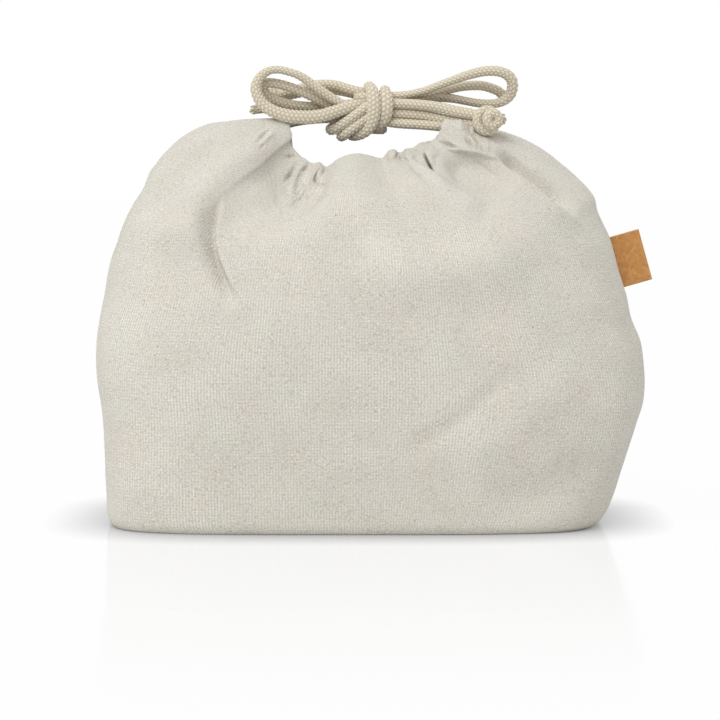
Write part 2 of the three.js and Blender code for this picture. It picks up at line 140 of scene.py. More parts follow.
cord_cotton, tree, shader = new_material("braided_cotton_cord", 0.85, 0.25, 0.15)
crest = add_node(tree, "ShaderNodeAttribute", attribute_name="crest")
lay = add_node(tree, "ShaderNodeAttribute", attribute_name="lay_mm")
# Paints shade into the braid's gaps and highlight onto its stitch tops, by the height crest
braid_shade_ramp = add_node(tree, "ShaderNodeValToRGB", {"Fac": crest.outputs["Fac"]})
braid_shade_ramp.color_ramp.elements[0].color = linear(CORD_GAP_SHADE)
braid_shade_ramp.color_ramp.elements[1].color = linear(CORD_TOP_HIGHLIGHT)
braid_shade_ramp.color_ramp.elements.new(0.42).color = linear(CORD_YARN)
fibres = add_node(tree, "ShaderNodeTexNoise", {
    "Vector": lay.outputs["Vector"], "Scale": 1 / FIBRE_MM, "Detail": 3.0, "Roughness": 0.6})
fibre_tone = add_node(tree, "ShaderNodeMix", {
    "Factor": 0.18, "A": braid_shade_ramp.outputs["Color"], "B": fibres.outputs["Color"]},
    data_type="RGBA", blend_type="SOFT_LIGHT")
fibre_bump = add_node(tree, "ShaderNodeBump", {
    "Height": fibres.outputs["Fac"], "Strength": 0.35, "Distance": 0.00012})
tree.links.new(fibre_tone.outputs["Result"], shader.inputs["Base Color"])
tree.links.new(fibre_bump.outputs["Normal"], shader.inputs["Normal"])
print("made", cord_cotton.name)

# %% [markdown]
# ## Cords
# A cord could be a curve with a bevel, but then the braid would be paint. Here each strand is
# a tube of rings along its route, and the radius of every ring point follows the braid: ten
# rows of short slanting stitches, each row half a stitch ahead of the next. The routes are in
# millimetres in the frame's own axes, drawn where the strands of the bow are seen. A strand
# starts in a casing or in the bow's knot, and ends in the knot or in a stopper knot.

# %% Lines
def mix(a, b, t):
    return a + (b - a) * t


def line_reach(line):
    return np.concatenate([[0.0], np.cumsum(np.linalg.norm(np.diff(line[:, :3], axis=0), axis=1))])


def at_shares(line, shares):
    reach = line_reach(line)
    wanted = np.asarray(shares, float) * reach[-1]
    return np.stack([np.interp(wanted, reach, axis) for axis in line.T], axis=-1)


def smooth_line(points, spacing=None, steps=32):
    """A centripetal Catmull-Rom curve through the points, with even steps."""
    p = np.array(points, float)
    p = np.vstack([2 * p[0] - p[1], p, 2 * p[-1] - p[-2]])
    knots = np.concatenate([[0.0], np.cumsum(np.sqrt(np.diff(line_reach(p))))])
    dense = []
    for i in range(1, len(p) - 2):
        t = np.linspace(knots[i], knots[i + 1], steps, endpoint=False)[:, None]

        def between(first, last, low, high):
            return (first * (knots[high] - t) + last * (t - knots[low])) / (knots[high] - knots[low])

        a = [between(p[k], p[k + 1], k, k + 1) for k in (i - 1, i, i + 1)]
        b = [between(a[k], a[k + 1], i - 1 + k, i + 1 + k) for k in (0, 1)]
        dense.append(between(b[0], b[1], i, i + 1))
    dense = np.vstack([*dense, p[-2:-1]])
    if spacing is None:
        return dense
    count = max(8, round(line_reach(dense)[-1] / spacing) + 1)
    return at_shares(dense, np.linspace(0, 1, count))


print("a half circle of 10 mm measures", round(line_reach(smooth_line(
    [(10 * math.cos(a), 10 * math.sin(a), 0) for a in np.linspace(0, math.pi, 7)]))[-1], 2), "mm")

# %% Meshes from points and quads
def grid_quads(rows, columns, wrap=False, first=0):
    """Quads of a grid of points, row after row; wrap joins the last column to the first."""
    j, i = np.meshgrid(np.arange(rows - 1), np.arange(columns if wrap else columns - 1), indexing="ij")
    right = (i + 1) % columns
    quads = [j * columns + i, j * columns + right, (j + 1) * columns + right, (j + 1) * columns + i]
    return (np.stack(quads, axis=-1).reshape(-1, 4) + first).tolist()


def add_piece(name, points_mm, faces, material):
    mesh = bpy.data.meshes.new(name)
    mesh.from_pydata((np.asarray(points_mm) * MM).tolist(), [], faces)
    mesh.polygons.foreach_set("use_smooth", [True] * len(mesh.polygons))
    mesh.materials.append(material)
    mesh.update()
    piece = bpy.data.objects.new(name, mesh)
    scene.collection.objects.link(piece)
    return piece


def thicken(piece, thickness_mm, offset):
    """Gives a sheet its thickness, inward for -1 and to both sides for 0."""
    layer = piece.modifiers.new("thickness", "SOLIDIFY")
    layer.thickness = thickness_mm * MM
    layer.offset = offset


def keep_values(piece, name, values):
    """Stores one number or one vector per point, for the material to read."""
    values = np.asarray(values, np.float32)
    kind, key = ("FLOAT", "value") if values.ndim == 1 else ("FLOAT_VECTOR", "vector")
    piece.data.attributes.new(name, kind, "POINT").data.foreach_set(key, values.ravel())


# %% Braided tubes
CORD_DIAMETER = 4.2
BRAID_ROWS = 10
STITCH_STEP = 1.9
STITCH_HALF_LENGTH = 0.74
STITCH_HALF_WIDTH = 0.42
STITCH_SLANT = math.radians(38)
BRAID_RELIEF = 0.32
RING_POINTS = 60
RING_STEP = 0.33


def turned_frames(line):
    """A direction along the line at each point, and two across it that don't twist."""
    along = np.gradient(line, axis=0)
    along /= np.linalg.norm(along, axis=1)[:, None]
    start = np.cross(along[0], (0.0, 0.0, 1.0) if abs(along[0][2]) < 0.9 else (1.0, 0.0, 0.0))
    across = [start / np.linalg.norm(start)]
    for direction in along[1:]:
        turned = across[-1] - direction * (across[-1] @ direction)
        across.append(turned / np.linalg.norm(turned))
    across = np.array(across)
    return along, across, np.cross(along, across)


def braided_tube(line, first=0):
    """Points, faces, braid height and lay of a closed braided tube round the line."""
    along, across, other = turned_frames(line[:, :3])
    reach = line_reach(line)[:, None]
    angle = np.linspace(0, 2 * math.pi, RING_POINTS, endpoint=False)[None, :]
    row = np.round(angle / (2 * math.pi / BRAID_ROWS))
    beside = (angle - row * 2 * math.pi / BRAID_ROWS) * CORD_DIAMETER / 2
    ahead = ((reach / STITCH_STEP + 0.5 * (row % 2)) % 1.0 - 0.5) * STITCH_STEP
    slant = np.where(row % 2 == 0, STITCH_SLANT, -STITCH_SLANT)
    length = ahead * np.cos(slant) + beside * np.sin(slant)
    width = beside * np.cos(slant) - ahead * np.sin(slant)
    height = np.exp(-(length / STITCH_HALF_LENGTH) ** 2 - (width / STITCH_HALF_WIDTH) ** 2)
    size = CORD_DIAMETER / 2 + BRAID_RELIEF * (height - 0.4)
    ring = np.cos(angle)[..., None] * across[:, None] + np.sin(angle)[..., None] * other[:, None]
    offset = size[..., None] * ring
    upright = np.cross(along, (0.0, 1.0, 0.0))
    weight = np.linalg.norm(upright, axis=1)
    upright /= np.maximum(weight, 1e-6)[:, None]
    broad = line[:, 3] / CORD_DIAMETER
    thick = np.clip(1 / broad, 0.75, 1.1)
    for axis, scale in ((upright, broad), (np.cross(along, upright), thick)):
        share = (offset * axis[:, None]).sum(-1, keepdims=True)
        offset = offset + ((scale - 1) * weight)[:, None, None] * share * axis[:, None]
    points = (line[:, None, :3] + offset).reshape(-1, 3)
    lay = np.stack(np.broadcast_arrays(
        reach, CORD_DIAMETER / 2 * np.cos(angle), CORD_DIAMETER / 2 * np.sin(angle)), axis=-1)
    faces = grid_quads(len(line), RING_POINTS, wrap=True, first=first)
    last = first + len(points)
    ends = [first + i for i in range(RING_POINTS)]
    tips = [last - RING_POINTS + i for i in range(RING_POINTS)]
    faces += [[ends[(i + 1) % RING_POINTS], ends[i], last] for i in range(RING_POINTS)]
    faces += [[tips[i], tips[(i + 1) % RING_POINTS], last + 1] for i in range(RING_POINTS)]
    points = np.vstack([points, line[:1, :3], line[-1:, :3]])
    height = np.concatenate([height.ravel(), [0.3, 0.3]])
    lay = np.vstack([lay.reshape(-1, 3), [[0, 0, 0]], [[reach[-1, 0], 0, 0]]])
    return points, faces, height, lay


def braided_piece(name, lines):
    """One piece of one or more braided tubes."""
    points, faces, height, lay = [], [], [], []
    for line in lines:
        tube = braided_tube(line, sum(len(p) for p in points))
        points.append(tube[0])
        faces += tube[1]
        height.append(tube[2])
        lay.append(tube[3])
    piece = add_piece(name, np.vstack(points), faces, cord_cotton)
    keep_values(piece, "crest", np.concatenate(height))
    keep_values(piece, "lay_mm", np.vstack(lay))
    return piece


# %% Routes of the cords, as (x, y, z, breadth seen from the front) in millimetres
STRANDS = {
    "left_lead_front": [
        (-42, -8.3, 164.4, 4.2), (-36, -8.2, 165.2, 4.2), (-29.4, -8.1, 168.1, 3.8),
        (-26, -7.9, 169.4, 3.8), (-21.8, -7.2, 169.8, 3.8), (-16.4, -6, 170.1, 3.8),
        (-11, -4.6, 170.4, 3.8), (-5.1, -3.4, 170.6, 3.8), (-0.9, -2.6, 170.7, 3.8),
        (3.3, -2, 170.8, 3.8)],
    "left_lead_back": [
        (-42, 8.3, 164.4, 4.2), (-36, 8.2, 165.1, 4.2), (-29.6, 8, 167.4, 4.2), (-24, 7.2, 168.6, 4.2),
        (-17, 5.4, 169.3, 4.2), (-10, 4, 169.5, 4.2), (-4, 3.2, 169.1, 4.2), (3, 2.8, 169.6, 4.2)],
    "right_lead_front": [
        (44, -8.2, 163.1, 4.2), (37.3, -8, 165.4, 4), (33.1, -7.8, 166.1, 4), (28.1, -7.4, 166.6, 4),
        (23.1, -6.9, 166.9, 4), (18, -6.3, 167.2, 4), (13.4, -5.4, 167.7, 4), (8.8, -3.5, 168.7, 3.8)],
    "right_lead_back": [
        (44, 8.2, 163.1, 4.2), (38, 8.2, 164.9, 4.2), (32.5, 7.8, 166.4, 4.2), (27, 6.4, 167.9, 4.2),
        (21, 3.6, 168.5, 4.2), (15, 1, 169.3, 4.2), (8, 0.5, 170.1, 4.2)],
    "left_loop_outer": [
        (3.3, -5, 175.4, 3.8), (-2.1, -6, 174.6, 3.8), (-6.7, -7, 175.2, 3.8),
        (-9.7, -7.8, 176.9, 3.8), (-13, -8.4, 179, 3.8), (-16.3, -9, 181.3, 3.8),
        (-19.7, -9.4, 183.6, 3.8), (-22.6, -9.8, 185.8, 3.6), (-25.5, -10, 187.5, 3.3),
        (-29.3, -10, 188.8, 3.2), (-33.5, -10, 189.7, 3.2), (-37.2, -10.2, 189.4, 3.3),
        (-40.2, -10.4, 187.7, 3.8), (-42.2, -10.8, 185.2, 4.2), (-43.1, -11.2, 182.1, 4.6),
        (-42.4, -11.6, 179, 4.6), (-40.8, -12, 176.1, 4.8), (-38, -12.4, 173.6, 5),
        (-34.3, -12.8, 171.8, 5.2), (-29.7, -13, 170.5, 5.6), (-24.7, -12.8, 170, 5.6),
        (-19.7, -12.2, 170, 5.6), (-15.5, -11.6, 170.6, 5.4), (-11.3, -10.8, 171.9, 5.2),
        (-6.7, -9.8, 173.4, 5), (-2.1, -8.4, 174.8, 4.6), (3.3, -5, 175.6, 3.8)],
    "left_loop_inner": [
        (3.4, -1, 175.8, 3.8), (-3, -1.5, 174.2, 3.8), (-8, -2.2, 173.5, 3.8),
        (-12.2, -3.4, 174.8, 3.8), (-15.6, -4.2, 176.5, 4), (-19.8, -4.8, 178.6, 4),
        (-24, -5.2, 180.5, 4), (-28.1, -5.5, 182.1, 4), (-32.3, -5.8, 183.4, 4), (-36.5, -6, 184.2, 4),
        (-39.3, -6, 184, 4.2), (-40.3, -5.6, 182.2, 4.2), (-39.5, -5, 180, 4.2),
        (-37, -4.2, 177.9, 4.2), (-33.3, -3.4, 176.3, 4.2), (-29.1, -2.6, 175.1, 4.2),
        (-24.9, -1.8, 174.5, 4.2), (-19.8, -1, 174.2, 4.2), (-14.8, 0, 174.4, 4.2),
        (-8.9, 1.2, 175, 4.2), (-3, 2, 175.4, 3.8), (3.4, 2.5, 175.4, 3.8)],
    "right_loop_outer": [
        (9.7, -1.6, 178.4, 3.6), (14.3, -2, 178.7, 3.6), (18.9, -2.2, 179.1, 3.4),
        (23.1, -2.4, 179.9, 3.2), (27.3, -2.7, 180.9, 3.2), (31.5, -3, 182.4, 3.3),
        (35.7, -3, 184, 3.4), (39.9, -3, 185.5, 3.5), (44.1, -3, 187, 3.8), (48.3, -3, 188.2, 4),
        (52.5, -3, 189.1, 4.1), (56.7, -3, 189.3, 4.2), (60.1, -2.8, 188.7, 4.3),
        (62.9, -2.4, 187.2, 4.5), (64.4, -1.8, 185.1, 4.5), (64.6, -1, 182.3, 4.6),
        (63.9, 0, 179.6, 4.5), (61.8, 0.8, 177.3, 4.2), (58.5, 1.6, 175.8, 3.8),
        (54.5, 2.2, 175.5, 3.5), (50.3, 2.6, 175.8, 3.4), (46.1, 2.8, 176.5, 3.3),
        (41.8, 3, 177.4, 3.3), (37.6, 3, 178.1, 3.4), (33.4, 3, 178.4, 3.4), (27.9, 2.8, 177.9, 3.4),
        (21.5, 2.6, 177.3, 3.4), (15.2, 2.2, 177.1, 3.4), (9.7, 1.5, 176.7, 3.4)],
    "right_loop_inner": [
        (9.7, 3, 178.8, 3.6), (15.2, 2.8, 178.1, 3.6), (21.5, 2.7, 178.3, 3.6),
        (26.6, 2.7, 178.8, 3.6), (30.8, 2.9, 179.5, 3.6), (35.1, 3.2, 180.8, 3.7),
        (39.3, 3.5, 181.9, 3.8), (43.5, 3.8, 182.8, 3.9), (47.8, 4.2, 183.2, 4), (52, 4.6, 183.1, 4),
        (55.9, 5, 182.1, 4), (59.1, 5.5, 180.7, 4), (61, 6, 178.8, 4), (60.6, 6.6, 176.9, 3.8),
        (58.5, 7, 175.7, 3.6), (54.7, 7.3, 175.4, 3.4), (50.5, 7.5, 175.7, 3.4),
        (45.4, 7.6, 176.6, 3.4), (40.3, 7.6, 177.5, 3.4), (35.2, 7.5, 177.9, 3.4),
        (29.2, 7.4, 177.7, 3.4), (23.3, 7.2, 177.3, 3.4), (17.4, 6.8, 176.9, 3.4),
        (10.6, 4, 176.2, 3.4)],
    "left_tail_upper": [
        (3.4, 1.2, 180, 3.8), (-0.4, 1.5, 180.7, 4), (-4.7, 2.6, 181.8, 4), (-8.9, 4, 183.1, 4),
        (-13.2, 5.5, 183.7, 4), (-17.4, 7, 183.5, 4), (-21.7, 8.5, 182.8, 4), (-25.9, 10, 181.7, 4),
        (-30.2, 11.5, 180.7, 4), (-34.1, 13, 179.6, 4)],
    "left_tail_lower": [
        (3.4, 5, 178.4, 3.8), (-0.4, 5.5, 179.2, 4), (-4.7, 6.5, 180.3, 4), (-8.9, 8, 181.1, 4),
        (-13.2, 9.6, 181.6, 4), (-17.5, 11.4, 181.4, 4), (-21.8, 13.2, 180.7, 4),
        (-26.1, 15, 180, 4.1), (-30.4, 16.6, 179, 4.1), (-34.2, 18, 177.9, 4.1)],
    "right_tail_front": [
        (9.6, -5, 175.8, 4), (15.1, -5.6, 175.6, 4.2), (20.6, -6.2, 175.4, 4.2),
        (25.6, -7, 175.1, 4.2), (30.6, -8, 174.5, 4.3), (34.8, -9, 173.8, 4.4),
        (38.9, -10.2, 172.8, 4.5), (43.1, -11.4, 172, 4.5), (47.2, -12.6, 171.3, 4.3),
        (50.1, -13.4, 170.4, 3.9)],
    "right_tail_back": [
        (9.7, -3.4, 172.1, 4.2), (15.1, -4.4, 171.5, 4.4), (20.6, -4.8, 171.3, 4.4),
        (25.6, -5.2, 170.9, 4.4), (30.6, -6, 170.1, 4.3), (34.8, -7, 169.2, 4.2),
        (39, -8.2, 168.3, 4.2), (43.1, -9.6, 167.6, 4.2), (47.3, -11, 167.1, 4),
        (50.1, -12.2, 166.9, 3.8)],
}
WRAPS = [
    [(4.2, 5, 179.6, 4.2), (4, 1, 182.3, 4.6), (4.6, -4, 182.5, 5), (5.6, -8, 180.6, 5.4),
     (6.1, -9.7, 177.3, 5.8), (6.1, -10.3, 173.3, 5.9), (5.7, -10.2, 169.6, 5.7),
     (4.4, -9.6, 166.2, 5.4), (2.1, -8.6, 163.8, 5), (-0.6, -6.8, 162.5, 4.6),
     (-2.8, -3.5, 162.2, 4.4), (-3.4, 0, 163.2, 4.2), (-1.3, 3, 165.7, 3.8)],
    [(11, 5, 177.9, 3.8), (10.9, 1, 180.7, 4.6), (10.9, -4, 180.9, 5.6), (11, -7.4, 178.8, 6.2),
     (11.1, -8.8, 175.2, 6.4), (10.9, -8.8, 171.8, 6.2), (10, -8, 168.8, 5.6),
     (8, -6.4, 166.6, 4.8), (5.2, -4.4, 165.4, 4.2), (2.4, -1.4, 165.4, 3.8), (1, 2, 167, 3.8)],
    [(5.9, -7.4, 175.2, 3.9), (2.9, -9, 174, 4), (-0.9, -9.8, 171.3, 4.1), (-4.6, -9.6, 168.6, 4.2),
     (-8, -8.6, 166.3, 4.3), (-10.7, -6.6, 164.8, 4.4), (-12, -3.4, 164.7, 4.4),
     (-11, 0.5, 165.7, 4.2), (-7.2, 3, 167.8, 3.8), (-2.1, 3.6, 169.5, 3.8)],
    [(6.3, -7.2, 171.9, 3.9), (3.3, -8.9, 169.7, 4), (-0, -9.6, 167.2, 4.2), (-3.4, -9.3, 164.7, 4.3),
     (-6.1, -7.8, 162.6, 4.4), (-7.4, -5, 161.9, 4.4), (-6.8, -1.6, 162.2, 4.3),
     (-4.2, 1.2, 163.8, 4.1), (-0.9, 3, 165.7, 3.8), (2.1, 3.4, 167.8, 3.8)],
]
print(len(STRANDS), "strands")

# %% [markdown]
# ### Stopper knots
# Each pair of tails ends in an overhand knot that keeps the cord from slipping back. It is
# drawn tight, so it looks like a ball of two turns with the cut, frayed end standing out. The
# knot is made from braided turns round its middle, with a short tapering brush of yarn as tip.

# %% Stopper knots
SIDES = {"left": -1, "right": 1}
STOPPERS = {"left": (-36.0, 15.5, 178.1), "right": (53.2, -14.6, 168.6)}
TIPS = {
    "left": ((-38.0, 12.0, 174.7), (-1.0, -0.1, -0.3), 9.0, 2.3, 1.7),
    "right": ((56.0, -14.6, 168.8), (1.0, 0.1, 0.0), 5.6, 3.4, 1.9),
}
TIP_YARNS = 44
YARN_STEPS, YARN_SIDES = 6, 6
YARN_POINTS = (2 * YARN_STEPS + 1) * YARN_SIDES


def stopper_lines(middle, side):
    """An outer turn, a ring in front of it and a filling, as routes round the middle."""
    angles = np.radians(np.linspace(45, 325, 12))
    outer = [(0.2 + 4.0 * math.cos(a), -1.4 + 1.5 * ((a - 3.3) / 2.4) ** 2, 4.2 * math.sin(a), 4.2)
             for a in angles]
    angles = np.radians(np.linspace(-60, 300, 14))
    ring = [(2.4 + 2.2 * math.cos(a), -3.4 + 0.5 * math.cos(a), 0.4 + 2.5 * math.sin(a), 4.3) for a in angles]
    filling = [(-3.0, 1.6, -2.0, 4.2), (-1.0, 2.6, 2.0, 4.2), (2.0, 1.6, 2.6, 4.2), (3.0, 0.4, -0.6, 4.2),
               (2.6, -2.0, 0.4, 4.2), (0.6, -0.4, -2.4, 4.2), (-2.0, 0.4, 0.4, 4.2), (1.6, 2.6, 0.0, 4.2)]
    x, y, z = middle
    return [smooth_line([(x + side * a, y + b, z + c, d) for a, b, c, d in route], RING_STEP)
            for route in (outer, ring, filling)]


def frayed_tip(start, direction, length, base_radius, tip_radius):
    """Fine tapering yarns that stand out of a cut cord end."""
    points, faces = [], []
    start, direction = np.array(start, float), np.array(direction, float)
    direction /= np.linalg.norm(direction)
    side_a = np.cross(direction, (0.0, 0.0, 1.0))
    side_a /= np.linalg.norm(side_a)
    side_b = np.cross(direction, side_a)
    ring = np.linspace(0, 2 * math.pi, YARN_SIDES, endpoint=False)
    for k in range(TIP_YARNS):
        turn, out = 2.4 * k, math.sqrt((k + 0.5) / TIP_YARNS)
        off = out * (math.cos(turn) * side_a + math.sin(turn) * side_b)
        reach = length * (1.0 - 0.25 * out + 0.12 * math.sin(5.1 * k))
        route = [start + base_radius * off,
                 start + mix(base_radius, tip_radius, 0.4) * off + 0.5 * reach * direction,
                 start + tip_radius * (1 + 0.3 * math.sin(3.7 * k)) * off + reach * direction]
        line = smooth_line(route, steps=YARN_STEPS)
        _, across, other = turned_frames(line)
        size = np.linspace(0.55, 0.22, len(line))
        base = len(points)
        for centre, a, b, r in zip(line, across, other, size):
            points += [centre + r * (math.cos(t) * a + math.sin(t) * b) for t in ring]
        faces += grid_quads(len(line), len(ring), wrap=True, first=base)
        faces.append([base + i for i in reversed(range(len(ring)))])
        faces.append([len(points) - len(ring) + i for i in range(len(ring))])
    return np.array(points), faces


for side_name, sign in SIDES.items():
    knot = braided_piece(f"{side_name}_stopper_knot_braid", stopper_lines(STOPPERS[side_name], sign))
    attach(knot, f"{side_name}_tail")
    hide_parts(f"{side_name}_stopper_knot")
    tip_points, tip_faces = frayed_tip(*TIPS[side_name])
    tip = add_piece(f"{side_name}_frayed_tip", tip_points, tip_faces, cord_cotton)
    keep_values(tip, "crest", 0.3 + 0.25 * np.sin(np.arange(len(tip_points)) // YARN_POINTS * 1.9))
    keep_values(tip, "lay_mm", tip_points)
    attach(tip, f"{side_name}_tail")
    print(side_name, "stopper knot", len(knot.data.vertices), "points")

# %% [markdown]
# ### Strands and knot
# Each strand is a braided tube along its route, in place of the frame's plain strand. The knot
# has two upright wraps in front and two slanting turns below left, round a core of packed cord.

# %% Strands of the bow
# Places across, in metres, between a strand's first body and its second
LEAD_BEND, LEAD_LEVEL = (0.03, 0.008), 0.165
KNOT_X, KNOT_BEND, KNOT_LEVEL = 0.0065, (0.008, 0.026), 0.175
# What the far end is held by and how the strand lies
STRAND_LAYS = {"lead": ("object", "taut"), "loop": ("object", "loose"), "tail": ("knot", "hanging")}

for name, route in STRANDS.items():
    line = smooth_line(route, RING_STEP)
    piece = braided_piece(f"{name}_braid", [line])
    side_name, kind = name.split("_")[:2]
    sign = SIDES[side_name]
    if kind == "lead":
        near, far = (sign * x for x in LEAD_BEND)
        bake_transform(piece)
    else:
        near, far = (KNOT_X + sign * x for x in KNOT_BEND)
        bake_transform(piece)
    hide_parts(name)
    far_end, lay = STRAND_LAYS[kind]

# %% Bow knot
KNOT_CORE_MIDDLE = np.array([4.6, 0.2, 171.5])
KNOT_CORE_HALF, KNOT_CORE_ROUND = 7.2, 9.5
KNOT_CORE_TURNS, KNOT_CORE_STEP = 5, 3.3

core_lines = []
for k in range(KNOT_CORE_TURNS):
    drop = (k - KNOT_CORE_TURNS // 2) * KNOT_CORE_STEP
    half = KNOT_CORE_HALF * math.sqrt(1 - (drop / KNOT_CORE_ROUND) ** 2)
    x, y, z = KNOT_CORE_MIDDLE + np.array([0, 0, drop])
    core_lines.append(smooth_line([
        (x - half, y, z, 4.2), (x - half * 0.6, y - 3.2, z, 4.2), (x, y - 4.4, z + 0.3, 4.2),
        (x + half * 0.6, y - 3.6, z, 4.2), (x + half, y + 0.4, z, 4.2), (x + half * 0.5, y + 4.2, z, 4.2),
        (x - half * 0.4, y + 4.4, z, 4.2), (x - half, y + 1.2, z, 4.2)], RING_STEP))
knot_lines = [smooth_line(route, RING_STEP) for route in WRAPS]
bow_knot = braided_piece("bow_knot_braid", knot_lines + core_lines)
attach(bow_knot, "bow")
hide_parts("bow_knot")
print("bow knot", len(bow_knot.data.vertices), "points")

# %% [markdown]
# ### Cords inside the casings
# Inside each casing the cord runs round the side of the mouth, where only the open ends let
# it be seen. It is held all the way, so it follows the bag.

# %% Cords in the casings
CASING_AXES = {
    "left": [(-40, -8.3, 164.4), (-52, -7.6, 164.3), (-59, -4.4, 164.2), (-61, 0, 164.2),
             (-59, 4.4, 164.2), (-52, 7.6, 164.3), (-40, 8.3, 164.4)],
    "right": [(42, -8.3, 163.4), (50, -7.4, 162.2), (56, -4.4, 161.2), (58, 0, 160.8),
              (56, 4.4, 161.2), (50, 7.4, 162.2), (42, 8.3, 163.4)],
}
for side_name, axis in CASING_AXES.items():
    line = smooth_line([(*p, CORD_DIAMETER) for p in axis], RING_STEP)
    held = braided_piece(f"{side_name}_casing_cord_braid", [line])
    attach(held, "bag")
    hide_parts(f"{side_name}_cord_in_casing")
    print(side_name, "casing cord", len(held.data.vertices), "points")

# %% [markdown]
# ## Material: unbleached cotton canvas
# Plain weave of undyed cotton, matt, with bits of seed husk spun into the yarn. Close up the
# eye sees upright warp threads of uneven thickness, a fainter weft and single bright or dark
# crossings. Real threads of such canvas are 0.6 mm apart, finer than a pixel here, so the weave
# is drawn at about twice that. Its tone follows the weave's height: partly the yarn's own
# unevenness, partly painted shade in the low places between threads and painted highlight on
# the crowns. The threads show more in some patches than in others, and the patches differ a
# little in tint. All of it follows the cloth: the mesh keeps each point's place in the flat cut
# as the attribute cloth_mm.

# %% Canvas material
WARP_MM, WEFT_MM, SLUB_MM, PATCH_MM = 1.25, 1.3, 0.8, 24.0
HUSK_SPACING_MM, SPECK_SHARE = 9.0, 0.1
WAVE_BANDS = 2 * math.pi / 20
# Weave tones: higher places lighter as painted highlight, lower places darker as painted shade
CANVAS_HIGH_TONE_LIT, CANVAS_LOW_TONE_SHADED, CANVAS_HUSK = "#e4e0d8", "#b6b2a8", "#8c8170"
CANVAS_PINK, CANVAS_GREEN = "#fffcfa", "#fcfdfa"

canvas_cotton, tree, shader = new_material("unbleached_cotton_canvas", 0.92, 0.15, 0.12)
cloth = add_node(tree, "ShaderNodeAttribute", attribute_name="cloth_mm").outputs["Vector"]
warp, weft = (add_node(tree, "ShaderNodeTexWave", {
    "Vector": cloth, "Scale": WAVE_BANDS / step, "Distortion": 1.6, "Detail": 2.0, "Detail Scale": 0.6},
    bands_direction=direction).outputs["Fac"] for step, direction in ((WARP_MM, "X"), (WEFT_MM, "Y")))
slubs = add_node(tree, "ShaderNodeTexNoise", {
    "Vector": cloth, "Scale": 1 / SLUB_MM, "Detail": 2.5, "Roughness": 0.65}).outputs["Fac"]
patches = add_node(tree, "ShaderNodeTexNoise", {
    "Vector": cloth, "Scale": 1 / PATCH_MM, "Detail": 3.0, "Roughness": 0.6})
line_share = add_node(tree, "ShaderNodeMapRange", {
    "Value": patches.outputs["Color"], "From Min": 0.35, "From Max": 0.65, "To Min": 0.08, "To Max": 0.4})
height = add_node(tree, "ShaderNodeMath", {0: warp, 1: line_share.outputs["Result"]}, operation="MULTIPLY")
for texture, share in ((weft, 0.1), (slubs, 1.5)):
    height = add_node(tree, "ShaderNodeMath", {
        0: texture, 1: share, 2: height.outputs[0]}, operation="MULTIPLY_ADD")
cells = add_node(tree, "ShaderNodeVectorMath", {0: cloth, 1: (WARP_MM, WEFT_MM, 1.0)}, operation="SNAP")
chance = add_node(tree, "ShaderNodeTexWhiteNoise", {"Vector": cells.outputs["Vector"]}).outputs["Value"]
crown = add_node(tree, "ShaderNodeMath", {0: warp, 1: weft}, operation="MULTIPLY")
bright = add_node(tree, "ShaderNodeMath", {0: chance, 1: 1 - SPECK_SHARE}, operation="GREATER_THAN")
dark = add_node(tree, "ShaderNodeMath", {0: chance, 1: SPECK_SHARE}, operation="LESS_THAN")
speck = add_node(tree, "ShaderNodeMath", {0: bright.outputs[0], 1: dark.outputs[0]}, operation="SUBTRACT")
speck_crown = add_node(tree, "ShaderNodeMath", {
    0: speck.outputs[0], 1: crown.outputs[0]}, operation="MULTIPLY")
height = add_node(tree, "ShaderNodeMath", {
    0: speck_crown.outputs[0], 1: 0.42, 2: height.outputs[0]}, operation="MULTIPLY_ADD")
# The weave's height sets its tone: painted shade in the low places, painted highlight on the crowns
shade = add_node(tree, "ShaderNodeMapRange", {
    "Value": height.outputs[0], "From Min": 0.5, "From Max": 1.3, "To Min": 0.0, "To Max": 1.0})
tone = add_node(tree, "ShaderNodeMix", {
    "Factor": shade.outputs["Result"], "A": linear(CANVAS_LOW_TONE_SHADED), "B": linear(CANVAS_HIGH_TONE_LIT)}, data_type="RGBA")
patch_share = add_node(tree, "ShaderNodeMapRange", {
    "Value": patches.outputs["Fac"], "From Min": 0.35, "From Max": 0.65})
tint = add_node(tree, "ShaderNodeMix", {
    "Factor": patch_share.outputs["Result"], "A": linear(CANVAS_PINK), "B": linear(CANVAS_GREEN)},
    data_type="RGBA")
tinted = add_node(tree, "ShaderNodeMix", {
    "Factor": 1.0, "A": tone.outputs["Result"], "B": tint.outputs["Result"]},
    data_type="RGBA", blend_type="MULTIPLY")
husk_cells = add_node(tree, "ShaderNodeTexVoronoi", {"Vector": cloth, "Scale": 1 / HUSK_SPACING_MM})
husk_size = add_node(tree, "ShaderNodeMath", {
    0: husk_cells.outputs["Color"], 1: 0.075}, operation="MULTIPLY")
husks = add_node(tree, "ShaderNodeMath", {
    0: husk_cells.outputs["Distance"], 1: husk_size.outputs[0]}, operation="LESS_THAN")
husk_fade = add_node(tree, "ShaderNodeMath", {0: husks.outputs[0], 1: 0.55}, operation="MULTIPLY")
coloured = add_node(tree, "ShaderNodeMix", {
    "Factor": husk_fade.outputs[0], "A": tinted.outputs["Result"], "B": linear(CANVAS_HUSK)},
    data_type="RGBA")
weave_bump = add_node(tree, "ShaderNodeBump", {
    "Height": height.outputs[0], "Strength": 0.7, "Distance": 0.0004})
tree.links.new(coloured.outputs["Result"], shader.inputs["Base Color"])
tree.links.new(weave_bump.outputs["Normal"], shader.inputs["Normal"])
print("made", canvas_cotton.name)

# %% [markdown]
# ## Canvas panels
# A gathered bag could be simulated from flat panels, but then its folds would fall anywhere.
# Here the smooth filled body is lofted first: level sections between the side seams' outline
# and the outline of the front, drawn in to the mouth's edge. Folds are then pressed into it
# where the real bag has them: each is a line on the cloth with a width and a height. Small
# pleats run out from the gathered edge and die away below it.

